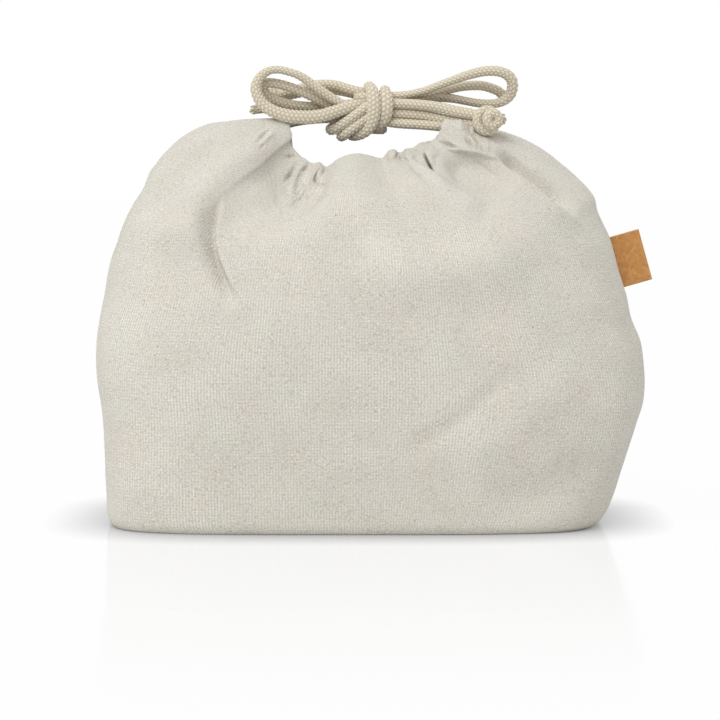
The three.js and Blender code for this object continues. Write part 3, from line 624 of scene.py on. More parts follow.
# %% Outlines of the body, in millimetres
LEFT_SIDE = [
    (103.4, 0), (105, 2), (106, 6), (106.2, 14), (106.6, 28), (107.4, 41.6), (108.8, 52), (110.6, 62),
    (111, 75), (109.6, 86), (107.6, 96), (104.8, 110), (102.4, 116.4), (98.8, 126.6), (95.4, 133.4),
    (91.2, 140.2), (88.4, 147), (85.8, 150.4), (83.2, 153.8), (79.8, 157.2), (76.2, 160.6), (71.8, 163.5),
    (68, 165.5)]
RIGHT_SIDE = [
    (98, 0), (101.6, 2.5), (104.6, 7), (106.4, 12), (111.4, 28), (116, 41.6), (119.2, 51.8), (120, 62),
    (118.6, 75.6), (114.8, 85.8), (112.6, 96), (109, 108), (106, 119), (102.4, 126.6), (100.6, 131),
    (99.6, 136), (96.6, 140.2), (89.6, 147), (85.2, 150.6), (81, 154), (76, 157.4), (70.4, 160.4),
    (66, 162.2)]
MIDDLE_LINE = [
    (54.5, 0), (56.5, 2.5), (57.5, 7), (60, 30), (61.5, 60), (61, 85), (56.5, 108), (44, 135), (31, 146)]
FRONT_RIM = [
    (-64.5, 0, 166.8), (-61, -5.6, 167.2), (-53, -9.9, 168), (-46, -11.2, 168.2), (-40, -11.9, 167.9),
    (-34, -12.7, 166.8), (-30.6, -13.1, 165.4), (-28.6, -13.4, 163.6), (-27.9, -13.9, 161.6),
    (-28.3, -13.9, 159.2), (-28, -14.1, 157.8),
    (-26.9, -14.6, 156.2), (-24.6, -16.1, 154), (-22.1, -17.3, 152.3), (-19.6, -18, 151),
    (-16.3, -18.9, 150.9), (-13.7, -19.4, 149.3), (-11.7, -19.8, 150.3), (-9.6, -20, 151.9),
    (-5.8, -20.2, 153.6), (-0.8, -20.4, 154.5), (3.7, -20.2, 153.9), (7.9, -19.9, 152.9),
    (9.5, -19.9, 152.8), (11.2, -19.9, 154.2), (13.7, -19.6, 155.5), (16.2, -19, 154.9),
    (17.5, -18.8, 154.6), (19.6, -18.2, 156.2), (22.1, -17.5, 156.6), (23.7, -17, 157.6),
    (25.4, -16.4, 158.6), (28.8, -15.1, 159.1), (31.7, -14, 160.4), (33, -13.5, 161.8),
    (33.6, -13.3, 163.4), (35.6, -13.2, 164), (42, -13.4, 163.4), (48, -12.8, 163.2),
    (54, -10.4, 163.6), (59, -5.6, 163.6), (62.5, 0, 163.4)]
BACK_RIM = [
    (-64.5, 0, 166.8), (-61, 5.6, 167), (-53, 9.9, 167.4), (-46, 11.2, 167.4), (-40, 11.9, 167),
    (-34, 12.7, 165.8), (-31, 13.2, 164.4), (-30, 13.4, 163), (-30, 14, 159), (-28.2, 15.2, 153.5),
    (-23, 17.4, 148), (-12, 19.8, 144.2),
    (0, 21, 144.2), (12, 20.4, 145.4), (22, 18, 148.8), (31, 15.4, 153.5), (35, 13.9, 159),
    (35.6, 13.4, 163), (37, 13.2, 163.6), (42, 13, 163.2), (48, 12.2, 163.2), (54, 10, 163.4),
    (59, 5.6, 163.5), (62.5, 0, 163.4)]
BASE_SQUARENESS, NECK_SQUARENESS, NECK_START = 4.6, 2.6, 0.7
SEAM_GAP = 0.15
COLUMNS = 280
ROWS = 280
ROW_CROWDING = 1.5
WIDEST_HEIGHT = 70

seam_lines = {-1: smooth_line([*LEFT_SIDE, (64.5, 166.8)]), 1: smooth_line([*RIGHT_SIDE, (62.5, 163.4)])}
print("side seams are", [round(line_reach(line)[-1]) for line in seam_lines.values()], "mm long")


# %% Smooth body
def smoothstep(value, low, high):
    t = np.clip((np.asarray(value, float) - low) / (high - low), 0, 1)
    return t * t * (3 - 2 * t)


def smooth_panel(rim, facing):
    """Points of a panel, rows from base to mouth, columns from the left seam to the right one."""
    edge = smooth_line(rim)
    middle_index = np.argmin(np.abs(edge[:, 0]))
    halves = {-1: edge[:middle_index + 1][::-1], 1: edge[middle_index:]}
    rise = 1 - (1 - np.linspace(0, 1, ROWS)) ** ROW_CROWDING
    mouth_height = edge[middle_index, 2]
    middle_line = at_shares(smooth_line([*MIDDLE_LINE, (abs(edge[middle_index, 1]), mouth_height)]), rise)
    sides = []
    for sign in (-1, 1):
        u = np.linspace(0, 1, COLUMNS + 1)
        turn = u * math.pi / 2
        seam = at_shares(seam_lines[sign], rise)
        square = mix(BASE_SQUARENESS, NECK_SQUARENESS, smoothstep(rise, 0, NECK_START))[:, None]
        sine, cosine = np.sin(turn)[None, :], np.maximum(np.cos(turn), 0)[None, :]
        swell = (sine ** square + cosine ** square) ** (-1 / square)
        gather = smoothstep(rise, NECK_START, 1)[:, None]
        mouth = at_shares(halves[sign], u)
        reach, depth, level = np.abs(mouth[:, 0]), np.abs(mouth[:, 1]), mouth[:, 2]
        x = seam[:, :1] * mix(swell * sine, reach / reach[-1], gather)
        y = middle_line[:, :1] * mix(swell * cosine, depth / depth[0], gather)
        sag = cosine ** 2
        z = mix(seam[:, 1:2], middle_line[:, 1:2], sag) + gather * (level - mix(level[-1], level[0], sag))
        sides.append(np.stack([sign * x, facing * (y + SEAM_GAP), z], axis=-1))
    left, right = sides
    return np.concatenate([left[:, :0:-1], right], axis=1)


front_smooth = smooth_panel(FRONT_RIM, -1)
back_smooth = smooth_panel(BACK_RIM, 1)
print("panel grids", front_smooth.shape, back_smooth.shape)


# %% Measures on a panel
def panel_measures(points, facing):
    """Outward normals, cloth place across and up, distance below the mouth and along it."""
    across = np.gradient(points, axis=1)
    up = np.gradient(points, axis=0)
    normal = np.cross(across, up) * (1 if facing < 0 else -1)
    normal /= np.maximum(np.linalg.norm(normal, axis=-1), 1e-9)[..., None]
    step_up = np.linalg.norm(np.diff(points, axis=0), axis=-1)
    rise = np.concatenate([np.zeros((1, points.shape[1])), np.cumsum(step_up, axis=0)])
    widest = np.argmin(np.abs(points[:, COLUMNS, 2] - WIDEST_HEIGHT))
    width = line_reach(points[widest])
    width = np.broadcast_to(width - width[COLUMNS], rise.shape)
    rim_reach = line_reach(points[-1])
    rim_reach = np.broadcast_to(rim_reach - rim_reach[COLUMNS], rise.shape)
    return normal, width, rise, rise[-1:] - rise, rim_reach


def press_folds(points, folds):
    """Height of folds at each point, from (height, width to the left, to the right, route)."""
    flat = points[..., [0, 2]].reshape(-1, 2)
    total = np.zeros(len(flat))
    for height, left_width, right_width, route in folds:
        line = at_shares(smooth_line(route), np.linspace(0, 1, 25))
        margin = 2.6 * max(left_width, right_width)
        low, high = line.min(0) - margin, line.max(0) + margin
        near = np.where(((flat > low) & (flat < high)).all(1))[0]
        start, step = line[:-1], np.diff(line, axis=0)
        rel = flat[near][:, None] - start
        t = np.clip((rel * step).sum(-1) / (step ** 2).sum(-1), 0, 1)
        away = np.linalg.norm(rel - t[..., None] * step, axis=-1)
        best = away.argmin(1)
        pick = np.arange(len(near))
        share = (best + t[pick, best]) / len(step)
        taper = 0.5 if min(left_width, right_width) < 1 else 0.3
        fade = smoothstep(share, 0, taper) * smoothstep(1 - share, 0, taper)
        turn = step[best, 0] * rel[pick, best, 1] - step[best, 1] * rel[pick, best, 0]
        width = np.where(turn > 0, left_width, right_width)
        total[near] += height * fade * np.exp(-(away[pick, best] / width) ** 2)
    return total.reshape(points.shape[:2])


# %% [markdown]
# The front's folds, from the left: the left shoulder has a crest with a hollow inside it, whose
# sharp end runs down as a crease; short creases gather beside the left casing's open end; the
# middle of the rim rolls forward as a smooth lobe with a soft rim below; a slit parts the lobe
# from the hollow under the right casing; a crease runs down the right shoulder, and two broad
# folds slant low on the right. The back can't be seen, so it has a few quiet folds of the same
# kind.

# %% Folds
FRONT_FOLDS = [
    # Crest of the left shoulder
    (5, 18, 9, [(-30, 157), (-39, 156), (-55, 149), (-61, 146), (-71, 134), (-89, 120)]),
    # Lower edge of the hollow inside it
    (-8, 9, 16, [(-10, 145), (-23, 138), (-47, 132), (-69, 126)]),
    # Sharp end of that hollow
    (-6, 1.2, 3.6, [(-56.5, 140), (-59, 133.5), (-60.5, 128), (-60.5, 122), (-59.5, 115.5),
        (-57, 108.5), (-49, 92.5)]),
    # Shade beside the left casing and down the shoulder
    (-3.4, 6, 7, [(-61, 166), (-61, 159), (-64, 151), (-70, 142), (-89, 122)]),
    # Short creases of the left casing
    (-0.5, 0.7, 0.7, [(-42, 164), (-37, 167)]),
    (-1.5, 0.9, 0.5, [(-43, 158), (-39, 163), (-36, 164.5)]),
    (0.8, 1, 1, [(-41.5, 157.5), (-37.5, 162), (-34.5, 164)]),
    (-1, 0.6, 0.5, [(-41, 156), (-39.5, 159.5)]),
    # Gathers below the left casing's end
    (-1.5, 0.6, 0.5, [(-30.5, 153), (-29, 154), (-27, 154), (-25.5, 153.5)]),
    (-2.2, 0.55, 1, [(-25, 152), (-28, 147.5), (-32, 144)]),
    (1.4, 1.1, 1.1, [(-24, 150.5), (-26, 144), (-28.5, 140)]),
    (-1.5, 1.5, 1, [(-24, 147.5), (-26.5, 140.5), (-30, 136)]),
    (1, 1.3, 1.3, [(-22.5, 147.5), (-24.5, 140), (-26.5, 136)]),
    (-1.9, 0.5, 0.8, [(-20, 151), (-23.5, 147.5)]),
    (0.8, 1.5, 1.5, [(-19, 150), (-20.5, 142.5)]),
    (-1.9, 0.5, 0.6, [(-16, 149.5), (-17, 146), (-16.5, 143.5), (-15, 140.5)]),
    (-1.5, 0.5, 0.6, [(-13.5, 149.5), (-15, 145.5)]),
    # Groove left of the lobe
    (-1.6, 5, 9, [(-9, 151), (-3, 131), (2, 121), (8, 112)]),
    # Rim of the lobe below
    (4.2, 12, 13, [(0, 124), (14, 113), (25, 109), (37, 109), (51, 112), (81, 123)]),
    # Edge of the lobe over the hollow
    (3.8, 1.6, 10, [(16, 154), (25.5, 149), (33.5, 144.5), (42.5, 139), (55, 133)]),
    # Slit right of the lobe
    (-7, 0.4, 0.45, [(26, 157.5), (29, 150.5), (32.5, 145)]),
    (1, 2.2, 1.2, [(25, 156.5), (27, 150)]),
    (1.2, 1.4, 2.2, [(28.5, 156.5), (31, 149.5)]),
    (-1.1, 0.5, 0.6, [(22, 156.5), (23.5, 156), (25.5, 153.5)]),
    (-0.9, 0.6, 0.7, [(18, 154), (20, 152), (22.5, 151)]),
    # Hollow under the right casing
    (-5.5, 6, 11, [(33, 151), (58, 146), (66, 141)]),
    # Stitched lower edge of the right casing
    (2.8, 6.5, 0.9, [(32, 161), (36.5, 157.5), (48, 155.5), (57.5, 153), (63, 151)]),
    # Creases of the right casing
    (-3, 1, 0.6, [(32, 160.5), (37.5, 158), (42, 157)]),
    (-3, 1, 0.5, [(46.5, 163), (50.5, 157)]),
    (-2.6, 1, 0.5, [(43.5, 162), (48, 155.5)]),
    (1.2, 1.1, 1.1, [(45.5, 162), (49, 156.5)]),
    (-1.3, 0.6, 0.6, [(50, 159), (52.5, 154.5)]),
    (0.9, 0.9, 0.9, [(53.5, 160), (53, 154.5)]),
    (1.3, 3, 2, [(34.5, 162), (37, 164), (44.5, 163.5), (47.5, 161.5)]),
    # Far edge of the hollow
    (2.8, 1.7, 11, [(49.5, 156.5), (56, 153.5), (62, 149.5), (73.5, 140.5), (86, 130.5), (94, 123.5)]),
    # Puffs along the right half of the rim
    (-1.5, 0.8, 0.8, [(17, 154.5), (19.5, 151)]),
    (1.5, 3, 3, [(11, 154), (14, 155), (16, 154)]),
    (1.1, 2.4, 2.4, [(19, 155.5), (23, 152.5)]),
    (0.9, 2.4, 2.4, [(28.5, 158), (30.5, 156), (32, 153)]),
    # Shade on the right shoulder
    (-7.2, 4, 1.4, [(55.5, 156.5), (66.5, 148), (77, 140), (90, 128.5)]),
    # Slanting folds low on the right
    (-0.8, 4, 4, [(13, 31), (40, 47), (60, 65), (70, 73)]),
    (1.6, 9, 10, [(35, 28), (49, 34), (64, 45), (93, 71)]),
    (-2, 9, 11, [(45, 12), (63, 14), (77, 19), (90, 26), (103, 38)]),
]
BACK_FOLDS = [
    (-4.2, 5.0, 7.0, [(50, 152), (60, 138), (64, 120), (61, 98)]),
    (2.8, 6.0, 7.0, [(60, 154), (71, 138), (74, 118), (71, 98)]),
    (4.2, 12.0, 12.0, [(4, 148), (-2, 128), (-10, 106), (-14, 84)]),
    (-5.0, 6.0, 10.0, [(-30, 156), (-44, 146), (-58, 135), (-72, 121)]),
    (3.0, 8.0, 9.0, [(-26, 148), (-36, 136), (-50, 122), (-64, 104)]),
    (-2.4, 8.0, 11.0, [(-100, 56), (-84, 44), (-66, 34), (-46, 24)]),
    (-2.0, 1.4, 1.4, [(22, 151), (24, 144), (28, 132)]),
    (1.2, 1.6, 1.6, [(19, 150), (20.6, 143), (23, 132)]),
    (-2.0, 1.4, 1.4, [(-20, 150), (-22, 143), (-26, 132)]),
    (1.2, 1.6, 1.6, [(-17, 149), (-18.6, 142), (-21, 132)]),
]
# Strength of the gathered pleats along the mouth, as (x, height in mm)
FRONT_PLEATS = [(-67, 0.02), (-27, 0.02), (-23, 0.15), (-15, 0.15), (-10, 0), (10, 0), (15, 0.2), (31, 0.2),
                (36, 0.25), (44, 0.35), (54, 0.5), (64, 0.1)]
BACK_PLEATS = [(-67, 0.05), (-58, 0.12), (-33, 0.12), (-22, 0.8), (-8, 0.5), (10, 0.5), (24, 0.8), (36, 0.12),
               (60, 0.1), (64, 0.05)]
# Share of the normal's rise that the folds keep: they are pressed mostly sideways
PRESS_RISE = 0.3
PLEAT_MM = 6.6
PLEAT_DROP = 13.0
CASING_STITCH, STITCH_WIDTH = 8.6, 1.5
SEAM_GROOVE, SEAM_GROOVE_WIDTH = 0.7, 1.8
# Unevenness of the cloth, as (height in mm, width in mm, place in the noise)
CLOTH_WAVES = ((0.9, 46.0, 3.0), (0.16, 9.0, 7.0))
# Depth of the stitched line below each casing, as (x, depth in mm)
FRONT_STITCH = [(-67, 0.1), (-36, 0.15), (-29.5, 0.1), (-28, 0), (33, 0), (44, 0.2), (54, 0.7), (60, 0.4),
                (64, 0.1)]
BACK_STITCH = [(-67, 0.2), (-58, 0.9), (-31, 1.1), (-28, 0), (33, 0), (35, 1.1), (54, 1.0), (60, 0.4),
               (64, 0.1)]


def pleats(reach, down):
    """Uneven waves along the gathered edge; their places wander with the distance along it."""
    phase = 2 * math.pi * reach / PLEAT_MM + 1.9 * np.sin(reach / 7.3) + 1.1 * np.sin(reach / 3.1 + 1.0)
    lean = phase + 0.05 * down * np.sin(reach / 11.0)
    return np.sin(lean) + 0.35 * np.sin(2.1 * lean + 0.7)


def soft_waves(points, width_mm, seed):
    """Slow unevenness of limp cloth."""
    flat = points.reshape(-1, 3) / width_mm
    return np.array([noise.noise(Vector((p[0], p[1] + seed, p[2]))) for p in flat]).reshape(points.shape[:2])


def fold_panel(points, facing, folds, pleat_heights, stitch_depths):
    normal, width, rise, down, rim_reach = panel_measures(points, facing)
    rim_x = np.broadcast_to(points[-1:, :, 0], rise.shape)
    pleat_x, pleat_height = zip(*pleat_heights)
    stitch_x, stitch_depth = zip(*stitch_depths)
    heights = press_folds(points, folds)
    strength = np.interp(rim_x, pleat_x, pleat_height) * np.exp(-(down / PLEAT_DROP) ** 1.4)
    heights += strength * pleats(rim_reach, down)
    from_stitch = (down - CASING_STITCH) / STITCH_WIDTH
    heights -= np.interp(rim_x, stitch_x, stitch_depth) * np.exp(-from_stitch ** 2)
    waves = sum(height * soft_waves(points, wide, seed * facing) for height, wide, seed in CLOTH_WAVES)
    heights += smoothstep(points[..., 2], 2, 18) * waves
    from_seam = np.minimum(width - width[:, :1], width[:, -1:] - width)
    heights -= SEAM_GROOVE * np.exp(-(from_seam / SEAM_GROOVE_WIDTH) ** 2)
    heights *= smoothstep(from_seam, -2.0, 6.0)
    press = normal * np.array([1, 1, PRESS_RISE])
    press /= np.linalg.norm(press, axis=-1)[..., None]
    folded = points + heights[..., None] * press
    folded[..., 2] = np.maximum(folded[..., 2], 0.0)
    return folded, width, rise, rim_reach


front_folded = fold_panel(front_smooth, -1, FRONT_FOLDS, FRONT_PLEATS, FRONT_STITCH)
back_folded = fold_panel(back_smooth, 1, BACK_FOLDS, BACK_PLEATS, BACK_STITCH)
pressed = np.linalg.norm(front_folded[0] - front_smooth, axis=-1)
print("front is pressed by", round(pressed.max(), 1), "mm at most")

# %% [markdown]
# ### Mouth: casings and rolled hem
# Above the edge the same cloth goes on. Along a casing it turns over the cord and comes down
# inside, so the casing is a tunnel with an open end. Between the casings it rolls over as a
# narrow hem. Both are strips of points added above the panel's top row, and their roll starts
# at the lean that the cloth below already has.

# %% Casings and hem
CANVAS_THICK = 0.9
# Where on the roll of canvas each sheet after the front is cut, in mm, so that no two look alike
BACK_CUT, BASE_CUT, TAPE_CUT = 400.0, 900.0, 1200.0
CASING_ROUND = 5.2
CASING_LAST_TURN = math.radians(205)
CASING_END_ROUND = 4.0
CASING_END_CLOSING = 0.6
HEM_DROP = 6.0
STRIP_ROWS = 26
# Radius of the rolled hem along the mouth, as (x, radius in mm)
FRONT_HEM = [(-29, 0.9), (-15, 0.9), (-9, 1.8), (-3, 2.5), (6, 2.4), (10, 1.5), (15, 1.4), (33, 1.2)]
BACK_HEM = [(-29, 1.0), (33, 1.0)]
# Where each casing ends, as (x, z), and which way is inward along the mouth, as (x, turn in degrees)
CASING_ENDS = ((-28.8, 163.9), (34.2, 163.8))
INWARD_TURNS = [(-64.5, 90), (-61, 55), (-53, 15), (-40, 0), (42, 0), (50, -15), (59, -55), (62.5, -90)]
# How far the cloth already leans inward where the casing's roll starts, as (x, turn in degrees)
LEAN_TURNS = [(-64.5, 65), (-53, 60), (-46, 55), (-40, 46), (-34, 30), (-30, 8), (-28, 0), (-24, 20),
              (-10, 50), (8, 50), (14, 25), (31, 15), (34, 0), (42, 0), (48, 12), (54, 38), (59, 58),
              (62.5, 62)]


def turned_strip(edge, inward, radius, lean, last_turn, drop, wave):
    """Rows of points that roll from the edge over to the inside and then go down."""
    up = np.array([0, 0, 1.0])
    turns = (lean + (last_turn - lean) * np.linspace(0, 1, STRIP_ROWS)[1:, None])[..., None]
    first = lean[:, None]
    rolled = (edge + inward * (radius * (np.cos(first) - np.cos(turns)))
              + up * (radius * (np.sin(turns) - np.sin(first))))
    rolled = rolled + wave * (up * np.sin(turns) - inward * np.cos(turns))
    falls = np.linspace(0, 1, 7)[1:, None, None]
    heading = inward * math.sin(last_turn) + up * math.cos(last_turn)
    return np.concatenate([rolled, rolled[-1:] + falls * drop * heading])


def panel_piece(name, folded, facing, hem, pleat_heights, nodes):
    points, width, rise, rim_reach = folded
    rows, columns = points.shape[:2]
    edge = points[-1]
    turn_x, turn = zip(*INWARD_TURNS)
    turn = np.radians(np.interp(edge[:, 0], turn_x, turn))
    inward = np.stack([np.sin(turn), -facing * np.cos(turn), 0 * turn], axis=1)
    hem_x, hem_radius = zip(*hem)
    pleat_x, pleat_height = zip(*pleat_heights)
    wave = (np.interp(edge[:, 0], pleat_x, pleat_height) * pleats(rim_reach[-1], 0.0))[:, None]
    all_points = [points.reshape(-1, 3)]
    cloth = [np.stack([width, rise, 0 * rise], axis=-1).reshape(-1, 3)]
    faces = grid_quads(rows, columns)
    first = rows * columns
    left_end, right_end = (np.hypot(edge[:, 0] - x, edge[:, 2] - z).argmin() for x, z in CASING_ENDS)
    for low, high in ((0, left_end), (left_end, right_end), (right_end, columns - 1)):
        chosen = np.arange(low, high + 1)
        casing = low == 0 or high == columns - 1
        if casing:
            open_end = high if low == 0 else low
            inside = np.abs(rim_reach[-1, chosen] - rim_reach[-1, open_end])
            closing = 1 - np.minimum(inside / CASING_END_ROUND, 1)
            radius = (CASING_ROUND * np.sqrt(1 - CASING_END_CLOSING * closing ** 2))[:, None]
        else:
            radius = np.interp(edge[chosen, 0], hem_x, hem_radius)[:, None]
        last_turn = CASING_LAST_TURN if casing else math.pi
        roll_wave = (0.25 if casing else 0.6) * wave[chosen]
        lean = np.radians(np.interp(edge[chosen, 0], *zip(*LEAN_TURNS)))
        strip = turned_strip(edge[chosen], inward[chosen], radius, lean, last_turn, HEM_DROP, roll_wave)
        count = len(chosen)
        top = (rows - 1) * columns + chosen
        strip_ids = first + np.arange(strip.shape[0] * count).reshape(-1, count)
        ids = np.vstack([top, strip_ids])
        quads = np.stack([ids[:-1, :-1], ids[:-1, 1:], ids[1:, 1:], ids[1:, :-1]], axis=-1)
        faces += quads.reshape(-1, 4).tolist()
        all_points.append(strip.reshape(-1, 3))
        up = rise[-1, chosen] + np.concatenate([
            [np.linalg.norm(strip[0] - edge[chosen], axis=1)],
            np.linalg.norm(np.diff(strip, axis=0), axis=2)]).cumsum(0)
        across = np.broadcast_to(width[-1, chosen], up.shape)
        cloth.append(np.stack([across, up, 0 * up], axis=-1).reshape(-1, 3))
        first += strip.shape[0] * count
    if facing > 0:
        faces = [face[::-1] for face in faces]
    piece = add_piece(name, np.vstack(all_points), faces, canvas_cotton)
    keep_values(piece, "cloth_mm", np.vstack(cloth) + np.array([BACK_CUT * (facing > 0), 0, 0]))
    thicken(piece, CANVAS_THICK, -1.0)
    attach(piece, "bag")
    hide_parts(*nodes)
    return piece


canvas_front = panel_piece("canvas_front", front_folded, -1, FRONT_HEM, FRONT_PLEATS,
                           ("front_panel", "left_casing", "right_casing"))
canvas_back = panel_piece("canvas_back", back_folded, 1, BACK_HEM, BACK_PLEATS,
                          ("back_panel", "left_casing", "right_casing"))
print("front panel has", len(canvas_front.data.polygons), "faces")

# %% [markdown]
# ### Base
# The base is a flat panel between the lower edges of front and back. It lies on the table, a
# little uneven, as canvas under a box does.

# %% Base panel
BASE_ROWS = 40
BASE_INSET = 0.985
base_front, base_back = front_folded[0][0], back_folded[0][0]
share = np.linspace(0, 1, BASE_ROWS)[:, None, None]
base_points = mix(base_front, base_back, share) * np.array([BASE_INSET, BASE_INSET, 0])
base_points[..., 2] = 0.9 + 0.35 * soft_waves(base_points, 22.0, 11.0)
base_faces = grid_quads(*base_points.shape[:2])
canvas_base = add_piece("canvas_base", base_points.reshape(-1, 3), base_faces, canvas_cotton)
keep_values(canvas_base, "cloth_mm", base_points.reshape(-1, 3) + np.array([BASE_CUT, 0, 0]))
thicken(canvas_base, CANVAS_THICK, -1.0)
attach(canvas_base, "bag")
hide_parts("base_panel")
print("base panel", [round(1000 * v) for v in canvas_base.dimensions], "mm")

# %% [markdown]
# ### Seam tapes
# Inside, each side seam's raw edges are bound in a narrow cotton tape. It shows only when one
# looks in through the mouth.

# %% Seam tapes
TAPE_WIDTH, TAPE_TOP, TAPE_INSET, TAPE_THICK = 5.0, 122.0, 2.4, 0.7
TAPE_ROWS, TAPE_COLUMNS = 80, 7
for side_name, sign in SIDES.items():
    seam = seam_lines[sign]
    seam = seam[(seam[:, 1] > 3) & (seam[:, 1] < TAPE_TOP)]
    seam = at_shares(seam, np.linspace(0, 1, TAPE_ROWS))
    ripple = 0.25 * np.sin(np.arange(TAPE_ROWS) * 0.9)
    across = np.linspace(-0.5, 0.5, TAPE_COLUMNS) * TAPE_WIDTH
    tape_points = np.stack([
        sign * (seam[:, :1] - TAPE_INSET - 0.05 * across[None] ** 2 + ripple[:, None] * 0.4),
        np.broadcast_to(across[None], (TAPE_ROWS, TAPE_COLUMNS)),
        np.broadcast_to(seam[:, 1:], (TAPE_ROWS, TAPE_COLUMNS))], axis=-1)
    tape = add_piece(f"{side_name}_seam_binding", tape_points.reshape(-1, 3),
                     grid_quads(TAPE_ROWS, TAPE_COLUMNS), canvas_cotton)
    keep_values(tape, "cloth_mm", np.stack(np.broadcast_arrays(
        across[None] + TAPE_CUT, seam[:, 1:], 0.0), axis=-1).reshape(-1, 3))
    thicken(tape, TAPE_THICK, 0.0)
    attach(tape, "bag")
    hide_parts(f"{side_name}_seam_tape")
    print(side_name, "tape", len(tape.data.polygons), "faces")

# %% [markdown]
# ## Cork label
# A strip of cork sheet is folded in two and caught in the side seam by its ends. Cork sheet is
# ground bark pressed with a binder: warm brown grains of 1 to 2 mm, with darker specks of
# bark. The strip is a sheet along a hairpin route, so its fold and its two layers show.

# %% Cork material
CORK_GRAIN_MM, CORK_SPECK_MM = 1.5, 1.1
CORK_DARK, CORK_LIGHT, CORK_SPECK = "#b57d43", "#cb975c", "#8a5a2c"
cork_sheet, tree, shader = new_material("pressed_cork_sheet", 0.75, 0.3)
place = add_node(tree, "ShaderNodeAttribute", attribute_name="cork_mm").outputs["Vector"]
grains = add_node(tree, "ShaderNodeTexVoronoi", {"Vector": place, "Scale": 1 / CORK_GRAIN_MM})
blur = add_node(tree, "ShaderNodeTexNoise", {
    "Vector": place, "Scale": 1 / CORK_SPECK_MM, "Detail": 4.0, "Roughness": 0.65})
grain_tone = add_node(tree, "ShaderNodeMix", {
    "Factor": grains.outputs["Color"], "A": linear(CORK_DARK), "B": linear(CORK_LIGHT)}, data_type="RGBA")
specks = add_node(tree, "ShaderNodeMapRange", {
    "Value": blur.outputs["Fac"], "From Min": 0.58, "From Max": 0.68, "To Min": 0.0, "To Max": 0.75})
speckled = add_node(tree, "ShaderNodeMix", {
    "Factor": specks.outputs["Result"], "A": grain_tone.outputs["Result"], "B": linear(CORK_SPECK)},
    data_type="RGBA")
cork_bump = add_node(tree, "ShaderNodeBump", {
    "Height": blur.outputs["Fac"], "Strength": 0.4, "Distance": 0.0003})
tree.links.new(speckled.outputs["Result"], shader.inputs["Base Color"])
tree.links.new(cork_bump.outputs["Normal"], shader.inputs["Normal"])
print("made", cork_sheet.name)

# %% Cork label
LABEL_SEAM_LOW, LABEL_SEAM_HIGH = np.array([112.9, 98.2]), np.array([106.9, 119.4])
LABEL_OUT = np.array([123.4, 101.2]) - LABEL_SEAM_LOW
LABEL_LAYER, LABEL_FOLD, LABEL_LENGTH = 0.85, 0.55, 22.0
out_length = np.linalg.norm(LABEL_OUT)
hairpin = [(-3.2, -LABEL_FOLD)] + [(x, -LABEL_FOLD) for x in np.linspace(-1.5, out_length, 22)]
hairpin += [(out_length + LABEL_FOLD * math.cos(a), LABEL_FOLD * math.sin(a))
            for a in np.linspace(-1.3, 1.3, 9)]
hairpin += [(x, LABEL_FOLD) for x in np.linspace(out_length, -1.5, 22)] + [(-3.2, LABEL_FOLD)]
hairpin = np.array(hairpin)
length_shares = np.linspace(0, 1, 45)
low_edge = mix(LABEL_SEAM_LOW, LABEL_SEAM_HIGH, length_shares[:, None])
label_points = np.empty((len(length_shares), len(hairpin), 3))
label_points[..., [0, 2]] = low_edge[:, None] + hairpin[None, :, :1] * (LABEL_OUT / out_length)
bulge = 0.25 * np.sin(length_shares * 3.0)[:, None]
label_points[..., 1] = hairpin[None, :, 1] + bulge * hairpin[None, :, 0] / out_length
label_faces = grid_quads(*label_points.shape[:2])
label = add_piece("cork_label_strip", label_points.reshape(-1, 3), label_faces, cork_sheet)
keep_values(label, "cork_mm", np.stack(np.broadcast_arrays(
    line_reach(hairpin)[None], length_shares[:, None] * LABEL_LENGTH, 0.0), axis=-1).reshape(-1, 3))
thicken(label, LABEL_LAYER, 0.0)
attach(label, "label")
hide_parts("cork_label")
print("label", len(label.data.polygons), "faces")

# %% [markdown]
# ## Floor and light
# The bag stands on a white surface in soft daylight from the upper left, with a white wall at
# its right. Most of the light comes from all round, so shadows are pale. One large lamp gives
# the folds their form, and a weaker one is what the wall sends back. The surface glows white
# to the camera, and a painted contact shadow darkens that glow close to the bag, where it also
# has a faint gloss that shows the bag upside down.

# %% Floor
PAPER_DARK, PAPER_LIGHT = "#d8d8d8", "#dcdcdc"
FLOOR_GLOW = 0.95
# Reach and depth of the painted contact shadow that darkens the floor's glow near the bag
CONTACT_REACH, CONTACT_SHADE = 0.029, 0.82
GLOSS_SHARE, GLOSS_ROUGHNESS, GLOSS_REACH = 0.17, 0.12, 0.46

paper, tree, shader = new_material("white_paper_sweep", 0.9, 0.1)
paper_fibre = add_node(tree, "ShaderNodeTexNoise", {"Scale": 180.0, "Detail": 3.0})
paper_tone = add_node(tree, "ShaderNodeMix", {
    "Factor": paper_fibre.outputs["Fac"], "A": linear(PAPER_DARK), "B": linear(PAPER_LIGHT)},
    data_type="RGBA")
# Painted contact shadow: ambient occlusion darkens the white glow close to the bag
contact = add_node(tree, "ShaderNodeAmbientOcclusion", {"Distance": CONTACT_REACH})
painted_contact_shadow = add_node(tree, "ShaderNodeMapRange", {
    "Value": contact.outputs["AO"], "To Min": 1 - CONTACT_SHADE, "To Max": 1.0})
glow = add_node(tree, "ShaderNodeEmission", {"Color": painted_contact_shadow.outputs["Result"], "Strength": 1.0})
glow_share = add_node(tree, "ShaderNodeMath", {0: seen_directly(tree), 1: FLOOR_GLOW}, operation="MULTIPLY")
matt = add_node(tree, "ShaderNodeMixShader", {
    0: glow_share.outputs[0], 1: shader.outputs[0], 2: glow.outputs[0]})
place = add_node(tree, "ShaderNodeNewGeometry").outputs["Position"]
far = add_node(tree, "ShaderNodeVectorMath", {0: place}, operation="LENGTH")
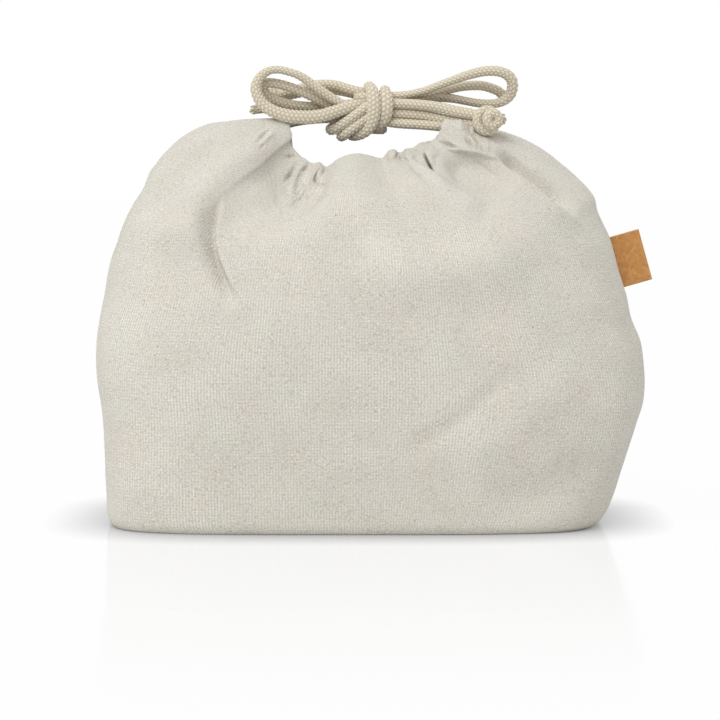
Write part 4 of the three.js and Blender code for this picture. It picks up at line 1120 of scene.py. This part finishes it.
gloss_share = add_node(tree, "ShaderNodeMapRange", {
    "Value": far.outputs["Value"], "From Min": 0.06, "From Max": GLOSS_REACH,
    "To Min": GLOSS_SHARE, "To Max": 0.0}, interpolation_type="SMOOTHSTEP")
mirror = add_node(tree, "ShaderNodeBsdfAnisotropic", {
    "Color": (1, 1, 1, 1), "Roughness": GLOSS_ROUGHNESS}, distribution="MULTI_GGX")
surface = add_node(tree, "ShaderNodeMixShader", {
    0: gloss_share.outputs["Result"], 1: matt.outputs[0], 2: mirror.outputs[0]})
tree.links.new(paper_tone.outputs["Result"], shader.inputs["Base Color"])
tree.links.new(surface.outputs[0], tree.nodes["Material Output"].inputs["Surface"])
FLOOR_HALF = 4000.0
floor = add_piece("floor", [(-FLOOR_HALF, -FLOOR_HALF, 0), (FLOOR_HALF, -FLOOR_HALF, 0),
                            (FLOOR_HALF, FLOOR_HALF, 0), (-FLOOR_HALF, FLOOR_HALF, 0)], [[0, 1, 2, 3]], paper)

# %% Light
WORLD_LIGHT = 0.66
SUN_STRENGTH = 1.9
SUN_SPREAD = math.radians(50)
SUN_FROM = Vector((-0.48, -0.66, 0.97))
WALL_STRENGTH = 0.5
WALL_SPREAD = math.radians(60)
WALL_FROM = Vector((0.9, 0.35, 0.12))

world = bpy.data.worlds.new("soft_daylight")
scene.world = world
world.use_nodes = True
tree = world.node_tree
world_strength = add_node(tree, "ShaderNodeMapRange", {
    "Value": seen_directly(tree), "To Min": WORLD_LIGHT, "To Max": 1.0})
tree.links.new(world_strength.outputs["Result"], tree.nodes["Background"].inputs["Strength"])
tree.nodes["Background"].inputs["Color"].default_value = (1, 1, 1, 1)

for name, strength, spread, source in (("window_light", SUN_STRENGTH, SUN_SPREAD, SUN_FROM),
                                       ("white_wall_bounce", WALL_STRENGTH, WALL_SPREAD, WALL_FROM)):
    lamp = bpy.data.objects.new(name, bpy.data.lights.new(name, "SUN"))
    scene.collection.objects.link(lamp)
    lamp.data.energy = strength
    lamp.data.angle = spread
    lamp.rotation_euler = source.to_track_quat("Z", "Y").to_euler()
scene.view_settings.view_transform = "Standard"
print("light from", [round(v, 2) for v in SUN_FROM.normalized()])

# %% Finish
bpy.context.view_layer.update()
